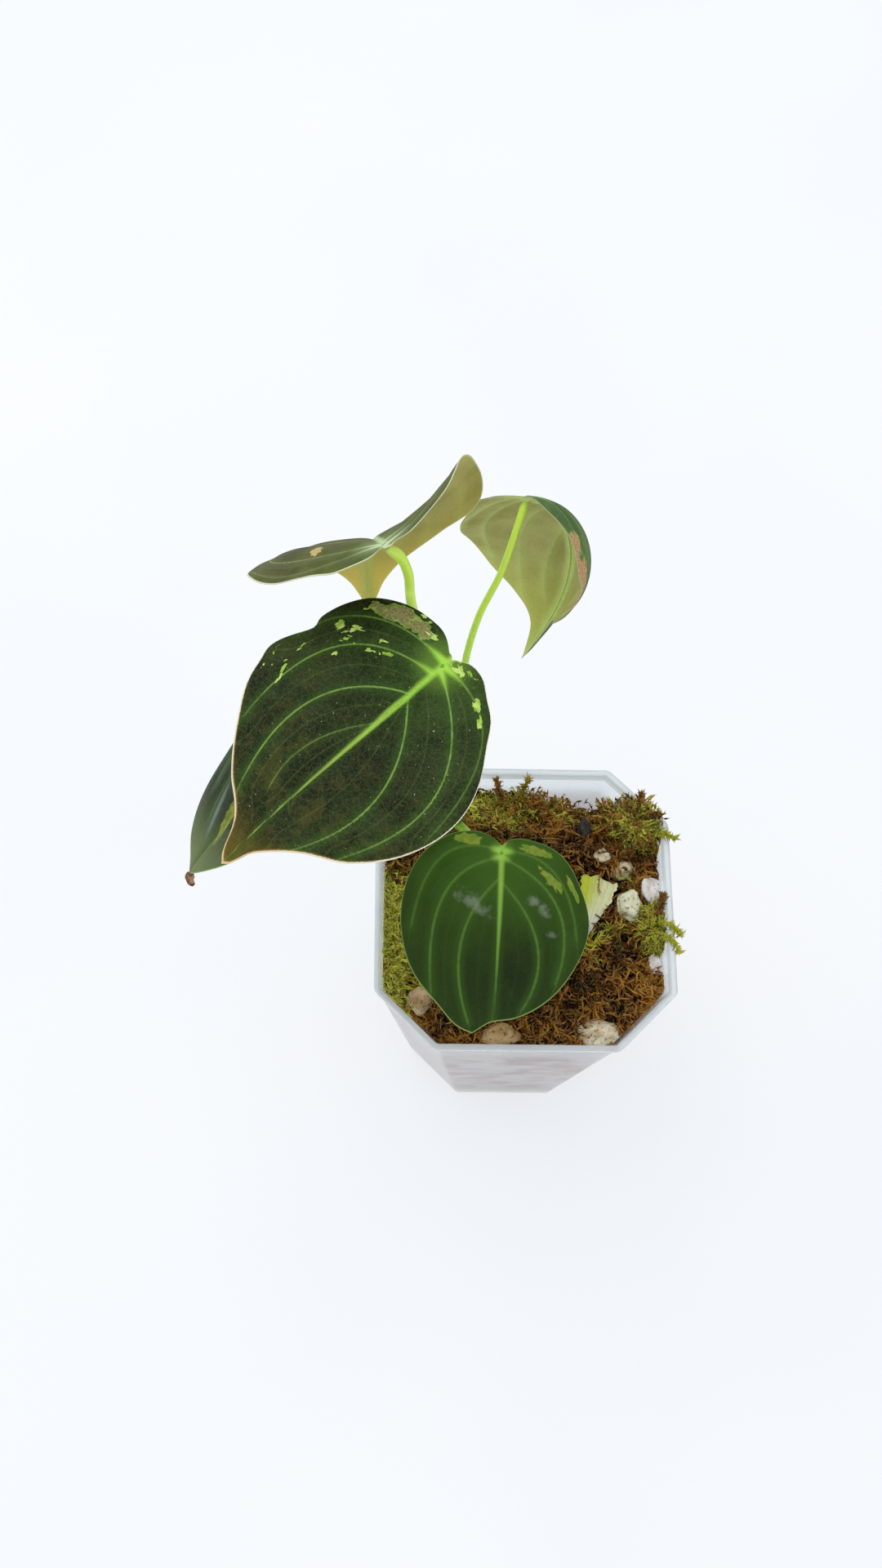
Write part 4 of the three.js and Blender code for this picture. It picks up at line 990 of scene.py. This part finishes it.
def moss_skin(name):
    """Tangled moss. Each strand has a tone and a greenness of its own, and is lighter towards its tip."""
    skin = Skin(name, 0.85, Specular_IOR_Level=0.12, Sheen_Weight=0.04, Sheen_Roughness=0.5)
    place, (tone, along, green) = skin.place(), skin.fields("tone", "along", "green")
    swing = skin.band(green, 0.3, 0.7, 2.2, 1.0)
    tone = skin.plus(tone, skin.times(skin.plus(skin.noise(place, 7, 4), -0.5), swing))
    kinds = []
    for dark, middle, light, tip in (MOSS_BROWNS, MOSS_GREENS):
        skin.ground = skin.blend(skin.band(tone, 0.05, 0.5), dark, middle)
        skin.paint(skin.band(tone, 0.5, 1.0), light)
        skin.paint(skin.times(skin.band(along, 0.3, 1.0), 0.5), tip)
        kinds.append(skin.ground)
    skin.ground = skin.blend(skin.band(green, 0.35, 0.65), *kinds)
    # Dark flecks of the darkest brown, fewer on the green moss
    dark_flecks = skin.band(skin.noise(place, 0.7, 4), 0.5, 0.75, 0, 0.4)
    skin.paint(skin.times(dark_flecks, skin.band(green, 0.3, 0.7, 1, 0.3)), MOSS_BROWNS[0])
    return skin.finish(skin.noise(place, 0.4, 4), 0.2)


def strand_paths(roots, azimuth, rise, length, bend, droop, segments):
    """Curved paths that rise from roots and droop. One row of points a strand."""
    t = (np.arange(segments) + 0.5) / segments
    turned = azimuth[:, None] + bend[:, None] * t
    lift = rise[:, None] - droop * t**2
    steps = np.stack([np.cos(turned) * np.cos(lift), np.sin(turned) * np.cos(lift), np.sin(lift)], -1)
    steps = steps * (length / segments)[:, None, None]
    return np.concatenate([roots[:, None], roots[:, None] + np.cumsum(steps, 1)], 1)


def strand_mesh(paths, width, tone, green):
    """Three-sided tapering strands along paths: points, faces and fields."""
    count, nodes, _ = paths.shape
    tangents = unit(np.gradient(paths, axis=1))
    side = unit(np.cross(tangents, (0.02, 0.01, 1)))
    other = np.cross(tangents, side)
    t = np.linspace(0, 1, nodes)
    radius = (width[:, None] / 2) * (1 - 0.65 * t)
    rings = []
    for k in range(3):
        turn = 2 * math.pi * k / 3
        rings.append(paths + radius[..., None] * (math.cos(turn) * side + math.sin(turn) * other))
    body = np.stack(rings, 2)[:, :-1]
    per = 3 * (nodes - 1) + 1
    points = np.concatenate([body.reshape(count, -1, 3), paths[:, -1:]], 1)
    first = np.arange(count)[:, None] * per
    quads = [first + grid_faces(nodes - 1, 3).reshape(1, -1)] if nodes > 2 else []
    last = 3 * (nodes - 2)
    tips = np.array([(last, last + 1, per - 1), (last + 1, last + 2, per - 1), (last + 2, last, per - 1)])
    triangles = np.concatenate([tips.ravel(), (2, 1, 0)])[None] + first
    faces = [rows.reshape(-1, 4) for rows in quads] + [triangles.reshape(-1, 3)]
    along = np.tile(np.append(np.repeat(t[:-1], 3), 1), count)
    fields = dict(along=along, tone=np.repeat(tone, per), green=np.repeat(green, per))
    return points.reshape(-1, 3), faces, fields


def joined(parts):
    """Several (points, faces, fields) as one."""
    points, faces, fields, first = [], [], {}, 0
    for part_points, part_faces, part_fields in parts:
        points.append(part_points)
        faces += [rows + first for rows in part_faces]
        for key, values in part_fields.items():
            fields.setdefault(key, []).append(values)
        first += len(part_points)
    return np.vstack(points), faces, {key: np.concatenate(values) for key, values in fields.items()}


def fine_octagon(z, out):
    """The pot's section as flat points, with one more between each two."""
    flat = np.array(rounded_octagon(z, out))[:, :2]
    return np.stack([flat, (flat + np.roll(flat, -1, 0)) / 2], 1).reshape(-1, 2)


def bed_mesh():
    """The bed's body: its lumpy top, and its sides pressed against the wall."""
    down, across = BED_GRID
    inset = POT["wall"] + 0.35
    rings = []
    for z in np.linspace(POT["floor"] + 0.4, BED["top"] - 2, down):
        flat = fine_octagon(z, -inset)
        x, y = flat.T
        height = z + smooth(z, 50, BED["top"]) * (bed_height(x, y) - BED["top"])
        sunk = 1.3 * np.maximum(0, ripple(x, y, z, 9, 1)) + 0.7 * np.maximum(0, ripple(x, y, z, 3.1, 4))
        flat = flat * (1 - sunk / np.linalg.norm(flat, axis=1))[:, None]
        rings.append(np.column_stack([flat, height]))
    brim = fine_octagon(BED["top"], -inset)
    for share in 1 - np.arange(across) / across:
        x, y = (brim * share).T
        lumps = 1.2 * clumps(x, y) + 0.6 * ripple(x, y, 0, 3.1, 5) + 0.3 * ripple(x, y, 0, 1.4, 9)
        rings.append(np.column_stack([brim * share, bed_height(x, y) - 0.9 + lumps * smooth(share, 0, 0.15)]))
    points, faces = loft(rings)
    points[:, :2] /= np.maximum(pot_reach(*points.T, inset), 1)[:, None]
    x, y, z = points.T
    tone = 0.2 + 0.25 * ripple(x, y, z, 3, 8) + 0.5 * smooth(pot_reach(x, y, z, inset), 0.93, 1)
    green = patches(MOSS_GREEN, x, y) * smooth(z, 60, 80) * 0.8
    return points, faces, dict(along=np.zeros(len(points)), tone=tone, green=green)


def scatter(random, count, inset):
    """Random roots on the bed, clear of the middles of the stones, the old sheath and the stem."""
    half = POT["rim_width"] / 2
    x, y = random.uniform(-half, half, (2, count * 3))
    keep = pot_reach(x, y, BED["top"], POT["wall"] + inset) < 1
    for lump in LUMPS.values():
        dx, dy = (x - lump["at"][0]) / lump["half"][0], (y - lump["at"][1]) / lump["half"][1]
        keep &= dx * dx + dy * dy > 0.8
    (start_x, start_y, _), *_, (end_x, end_y, _) = SHEATH["points"]
    t = np.clip((y - start_y) / (end_y - start_y), 0, 1)
    beyond = np.abs(y - (start_y + end_y) / 2) > (end_y - start_y) / 2 + SHEATH["clear_ends"]
    keep &= (np.abs(x - mix(start_x, end_x, t)) > mix(*SHEATH["clear_sides"], t)) | beyond
    stem_x, stem_y, _ = STEM["points"][0]
    keep &= np.hypot(x - stem_x, y - stem_y) > STEM["clear"]
    return x[keep][:count], y[keep][:count]


def kept_inside(paths, margin=0.3):
    """Paths pulled in where they would pass through the pot's wall below its rim."""
    reach = pot_reach(*np.moveaxis(paths, -1, 0), POT["wall"] + margin)
    factor = np.where((reach > 1) & (paths[..., 2] < POT["height"] + 0.5), 1 / np.maximum(reach, 1), 1)
    pulled = paths.copy()
    pulled[..., :2] *= factor[..., None]
    return pulled


def strand_looks(random, x, y, spread=(0, 0.6)):
    """Tone and greenness of strands that root at x, y. Painted shade makes the hollows between the clumps
    darker than their tops, and the shade patches under the leaves darker still.
    """
    tone = random.uniform(*spread, len(x)) + 0.32 * clumps(x, y) + 0.17
    # Painted shade patches darken the tone
    tone = tone + 0.45 * patches(MOSS_GOLD, x, y) - 0.5 * patches(MOSS_PAINTED_SHADE, x, y)
    tone = tone + 0.25 * smooth(pot_reach(x, y, BED["top"], POT["wall"]), 0.9, 1)
    return tone, patches(MOSS_GREEN, x, y) + random.uniform(-0.35, 0.25, len(x))


def grown(random, x, y, above, rise, length, bend, droop, segments):
    """Paths in all directions from roots at a height above the bed, by ranges of rise, length and bend."""
    roots = np.stack([x, y, bed_height(x, y) + above], 1)
    spans = [(0, 2 * math.pi), rise, length, (-bend, bend)]
    draws = [random.uniform(*span, len(x)) for span in spans]
    return kept_inside(strand_paths(roots, *draws, droop, segments))


def loose_strands(random, count, length, width, rise, bend):
    """Curled strands over the bed."""
    x, y = scatter(random, count, 0.4)
    above = 1.2 * clumps(x, y) - 1.3 + random.uniform(-0.3, 0.8, len(x))
    paths = grown(random, x, y, above, rise, length, bend, 1.5, 3)
    return strand_mesh(paths, random.uniform(*width, len(x)), *strand_looks(random, x, y))


def leafy_shoots(random, paths, width, leaflets, size, tone, green, inside=True):
    """Strands set all round with small pointed leaflets."""
    count, nodes, _ = paths.shape
    shoots = strand_mesh(paths, width, tone, green)
    place = random.uniform(0.05, 1, (count, leaflets)) * (nodes - 1)
    k = np.minimum(place.astype(int), nodes - 2)
    row = np.arange(count)[:, None]
    start, end = paths[row, k], paths[row, k + 1]
    roots = mix(start, end, (place - k)[..., None]).reshape(-1, 3)
    forward = unit(end - start).reshape(-1, 3)
    direction = unit(forward * 0.8 + unit(random.normal(size=forward.shape)))
    small = np.stack([roots, roots + direction * random.uniform(*size, len(roots))[:, None]], 1)
    if inside:
        small = kept_inside(small)
    looks = [np.repeat(values, leaflets) for values in (width * 0.85, tone, green)]
    return joined([shoots, strand_mesh(small, *looks)])


def moss_pieces(random):
    """The bed with its loose strands, its leafy shoots and the taller shoots."""
    skins = [moss_skin("brown_moss")]
    body = joined([
        bed_mesh(),
        *[loose_strands(random, *kind) for kind in STRANDS],
    ])
    make_piece("moss_bed", *body, skins, "brown_moss", "moss")

    x, y = scatter(random, SHOOT["count"], 0.8)
    paths = grown(random, x, y, 1.2 * clumps(x, y) - 1, (0.1, 1.1), (3, 8), 2, 1.2, 4)
    widths = random.uniform(*SHOOT["width"], len(x))
    looks = strand_looks(random, x, y, (0.1, 0.9))
    body = leafy_shoots(random, paths, widths, SHOOT["on_bed"], SHOOT["leaflet"], *looks)
    make_piece("moss_shoots", *body, skins, "brown_moss")

    parts = []
    for ax, ay, hx, hy, count in MOSS_TALL:
        x, y = ax + random.uniform(-hx, hx, count), ay + random.uniform(-hy, hy, count)
        paths = grown(random, x, y, -1, (0.7, 1.5), (3, 8.5), 1.2, 0.9, 4)
        tone, green = random.uniform(0.55, 1.15, count), random.uniform(0.05, 0.65, count)
        widths = random.uniform(*SHOOT["width"], count)
        parts.append(leafy_shoots(random, paths, widths, SHOOT["on_tall"], SHOOT["leaflet"], tone, green))
    make_piece("moss_tall_shoots", *joined(parts), skins, "brown_moss")


def long_shoot(random, route, green):
    """A long leafy shoot along a given route."""
    paths = smooth_curve(route, 9)[None]
    share = np.array([green + random.uniform(-0.1, 0.3)])
    width, tone = np.array([1.1]), np.array([0.6])
    return leafy_shoots(random, paths, width, SHOOT["on_long"], (1.0, 2.4), tone, share, False)


def tuft_piece(name, tuft, random, material):
    """Living moss: leafy shoots standing out of a low uneven mound."""
    (ax, ay), (hx, hy, hz), n = tuft["at"], tuft["half"], tuft["count"]
    around, out = random.uniform(0, 2 * math.pi, n), np.sqrt(random.uniform(0, 1, n))
    x, y = ax + hx * out * np.cos(around), ay + hy * out * np.sin(around)
    mound = bed_height(ax, ay) + 0.8 * hz * np.sqrt(np.maximum(1 - out**2, 0)) - 1.4
    mound = mound + 1.1 * ripple(x, y, 0, 6, 2)
    roots = np.stack([x, y, np.maximum(mound, bed_height(x, y) - 0.8)], 1)
    length = tuft["length"] * random.uniform(0.25, 1, n)**1.3
    paths = strand_paths(roots, around + random.uniform(-1.6, 1.6, n), random.uniform(0.2, 1.3, n),
                         length, random.uniform(-1.5, 1.5, n), 1.1, 3)
    tone = tuft["tone"] + random.uniform(0, 0.85, n) + 0.2 * ripple(x, y, 0, 5, 5)
    greenest = tuft["green"] * 0.6
    green = greenest + random.uniform(-0.1, 0.5, n) + 0.15 * ripple(x, y, 0, 6, 7)
    widths = random.uniform(0.45, 0.9, n)
    paths = kept_inside(paths)
    parts = [leafy_shoots(random, paths, widths, SHOOT["on_tuft"], SHOOT["leaflet"], tone, green)]
    parts += [long_shoot(random, route, greenest) for route in tuft["routes"]]
    make_piece(name + "_shoots", *joined(parts), [material], "green_moss", name)


# Stones, bark chip and old sheath


def ball_mesh(subdivisions):
    bpy.ops.mesh.primitive_ico_sphere_add(subdivisions=subdivisions, radius=1)
    ball = bpy.context.object
    points = np.array([v.co for v in ball.data.vertices], float)
    faces = np.array([p.vertices for p in ball.data.polygons])
    bpy.data.objects.remove(ball)
    return unit(points), faces


def stone_skin(name, light, dark, stain):
    """Pumice: pale, gritty and full of small pores, stained by the moss in places."""
    skin = Skin(name, 0.9, (0.1, 1, 1, 1))
    place = skin.place()
    pores = skin.band(skin.noise(place, 0.9, 3, 0.3), 0.3, 0.42)
    skin.ground = skin.blend(skin.band(skin.noise(place, 2.5, 3), 0.35, 0.7), light, dark)
    skin.paint(skin.math("SUBTRACT", 1.0, pores), stain)
    skin.paint(skin.band(skin.noise(place, 4, 4, 0.4), 0.5, 0.72, 0, 0.6), stain)
    grit = skin.times(skin.noise(place, 0.5, 5), 0.4)
    return skin.finish(skin.plus(grit, skin.times(pores, 0.6)), 0.35)


STONE_LOOKS = dict(
    cream=("f4ead0", "dfcca2", "b08a4e"), peach=("d2b080", "b8945c", "8a6a2c"),
    sand=("d9c09c", "c2a478", "8c6a3a"), pale_green=("eeeed4", "d6d8ac", "a0965a"),
    white=("fbf8f8", "ece6e2", "c0aca0"), bark=("3b3431", "1e1a18", "55493c"),
)


def lump_piece(name, lump, index, ball, material, slot):
    """A rough stone, half sunk in the moss."""
    directions, faces = ball
    x, y, z = directions.T
    rough = (1 + 0.14 * np.sin(4 * x + index) * np.cos(3 * y - 2 * index) + 0.08 * np.sin(7 * z + index)
             + 0.035 * ripple(x, y, z, 0.9, index + 1) + 0.02 * ripple(x, y, z, 0.4, index + 3))
    half = np.array(lump["half"])
    middle = np.array([*lump["at"], bed_height(*lump["at"]) + half[2] * LUMP_LIFT])
    points = kept_inside(middle + directions * rough[:, None] * half)
    make_piece(name + "_lump", points, [faces], {}, [material], slot, name)


def sheath_skin():
    """Papery: lime yellow along one side, fading to white, with fine lengthwise ribs and a few stains."""
    skin = Skin("dry_sheath", 0.5, (0.3, 1.5, 1.5, 1.5))
    place, (along, across) = skin.place(), skin.fields("along", "across")
    ribs = skin.math("SINE", skin.times(across, 38.0))
    skin.ground = skin.blend(skin.band(along, 0.1, 0.6), "f4efdf", "f0f2bc")
    skin.paint(skin.times(skin.band(across, -0.5, 0.7), skin.band(along, 0.3, 0.6)), "c8d62c")
    skin.paint(skin.band(ribs, 0.2, 1.0, 0, 0.12), "c8cc78")
    skin.paint(skin.band(skin.noise(place, 3, 4), 0.6, 0.8, 0, 0.35), "b8a468")
    return skin.finish(ribs, 0.05)


def sheath_piece():
    """The old leaf sheath: a thin channelled strip along a curve, torn across its wide end."""
    steps, columns = SHEATH_GRID
    centres = smooth_curve(SHEATH["points"], steps)
    tangents = unit(np.gradient(centres, axis=0))
    side = unit(np.cross((0, 0, 1), tangents))
    up = np.cross(tangents, side)
    along = np.linspace(0, 1, steps)
    half = np.interp(along, np.linspace(0, 1, len(SHEATH["half_widths"])), SHEATH["half_widths"])
    x = np.linspace(-1, 1, columns)
    ragged = 1 + 0.05 * np.sin(23 * along) + 0.03 * np.sin(61 * along)
    dip = SHEATH["channel"] * (half / max(SHEATH["half_widths"]))**2
    level = -dip[:, None] * (1 - x**2) + 0.15 * np.sin(6 * math.pi * x) * (half / 4)[:, None]
    tear = SHEATH["torn"] * (0.7 * np.sin(4 * x + 1) + 0.3 * np.sin(9 * x) - 0.9)
    pulled = smooth(along, 0.75, 1)[:, None] * tear
    flat = centres[:, None] + (half * ragged)[:, None, None] * x[None, :, None] * side[:, None]
    flat = flat + pulled[..., None] * tangents[:, None]
    faces, layers = [], []
    for layer, lift in enumerate((0, SHEATH["thickness"])):
        layers.append((flat + up[:, None] * (level + lift)[..., None]).reshape(-1, 3))
        quads = grid_faces(steps, columns, layer * steps * columns, wrapped=False)
        faces.append(quads if layer else quads[:, ::-1])
    count = steps * columns
    border = np.concatenate([
        np.arange(columns - 1), columns - 1 + columns * np.arange(steps - 1),
        count - 1 - np.arange(columns - 1), count - columns - columns * np.arange(steps - 1)])
    ahead = np.roll(border, -1)
    faces.append(np.stack([border, ahead, ahead + count, border + count], 1))
    fields = dict(along=np.tile(np.repeat(along, columns), 2), across=np.tile(x, 2 * steps))
    body = np.vstack(layers), faces, fields
    make_piece("old_sheath_strip", *body, [sheath_skin()], "dry_sheath", "old_sheath")


# Set: floor, lights and camera


def stage_floor():
    """White paper on a light table, so that the object casts almost no shadow."""
    skin = Skin("floor_paper", 0.9, Specular_IOR_Level=0.1, Emission_Color=(0.955, 0.975, 1, 1),
                Emission_Strength=0.72)
    drift = skin.band(skin.noise(skin.place(), 160, 2), 0.3, 0.7)
    skin.ground = skin.blend(drift, (0.26, 0.265, 0.27, 1), (0.235, 0.25, 0.27, 1))
    bpy.ops.mesh.primitive_plane_add(size=FLOOR_SIZE, location=(0, 0, 0))
    floor = bpy.context.object
    floor.name = "floor"
    floor.data.materials.append(skin.finish())


def window_light():
    data = bpy.data.lights.new("window", "AREA")
    data.size, data.energy, data.color = WINDOW["size"], WINDOW["power"], WINDOW["tint"]
    light = bpy.data.objects.new("window", data)
    bpy.context.scene.collection.objects.link(light)
    at = np.array(WINDOW["at"])
    forward = unit(np.array(WINDOW["aim"]) - at)
    right = unit(np.cross(forward, (0, 1, 0.01)))
    columns = np.stack([right, np.cross(right, forward), -forward, at], 1)
    light.matrix_world = Matrix([*columns.tolist(), [0, 0, 0, 1]])


def studio():
    world = bpy.data.worlds.new("studio")
    world.use_nodes = True
    background = world.node_tree.nodes["Background"]
    background.inputs["Color"].default_value = (0.95, 0.97, 1, 1)
    background.inputs["Strength"].default_value = 0.85
    bpy.context.scene.world = world
    window_light()
    bpy.context.scene.view_settings.view_transform = "Standard"


def photo_camera():
    """A camera at the photograph's viewpoint, found from the pot's rim and foot."""
    elevation, azimuth, roll = np.radians([CAMERA["elevation"], CAMERA["azimuth"], CAMERA["roll"]])
    back = np.array([math.sin(azimuth) * math.cos(elevation), -math.cos(azimuth) * math.cos(elevation),
                     math.sin(elevation)])
    level = unit(np.cross(-back, (0, 0, 1)))
    upright = np.cross(level, -back)
    right = level * math.cos(roll) + upright * math.sin(roll)
    up = upright * math.cos(roll) - level * math.sin(roll)
    data = bpy.data.cameras.new("camera")
    data.sensor_fit = "VERTICAL"
    data.sensor_height = SENSOR
    data.lens = SENSOR * FOCAL_PIXELS / FRAME_HEIGHT
    data.clip_start = 0.01
    camera = bpy.data.objects.new("camera", data)
    bpy.context.scene.collection.objects.link(camera)
    columns = np.stack([right, up, back, np.array(CAMERA["at"]) * MM], 1)
    camera.matrix_world = Matrix([*columns.tolist(), [0, 0, 0, 1]])
    bpy.context.scene.camera = camera


photo_camera()
studio()
stage_floor()
pot_piece()
random = np.random.default_rng(SEED)
moss_pieces(random)
green_moss = moss_skin("green_moss")
for name, tuft in TUFTS.items():
    tuft_piece(name, tuft, random, green_moss)
fine_ball = ball_mesh(STONE_SUBDIVISIONS)
for index, (name, lump) in enumerate(LUMPS.items()):
    material = stone_skin(name + "_skin", *STONE_LOOKS[lump["look"]])
    lump_piece(name, lump, index, fine_ball, material, "bark" if name == "bark_chip" else "pumice")
sheath_piece()
stem_piece(stem_skin())
dried_tip_piece(LEAVES["left"])
stalk_material = stalk_skin()
for seed, (name, leaf) in enumerate(LEAVES.items()):
    stalk_piece(name, leaf, stalk_material)
    look = SimpleNamespace(**LEAF_LOOKS[name])
    skins = [leaf_upper_skin(f"leaf_{name}_upper", look), leaf_under_skin(f"leaf_{name}_under", look)]
    leaf_piece(name, leaf, *LEAF_GRIDS[name], skins, LEAF_SLOTS[name], seed)
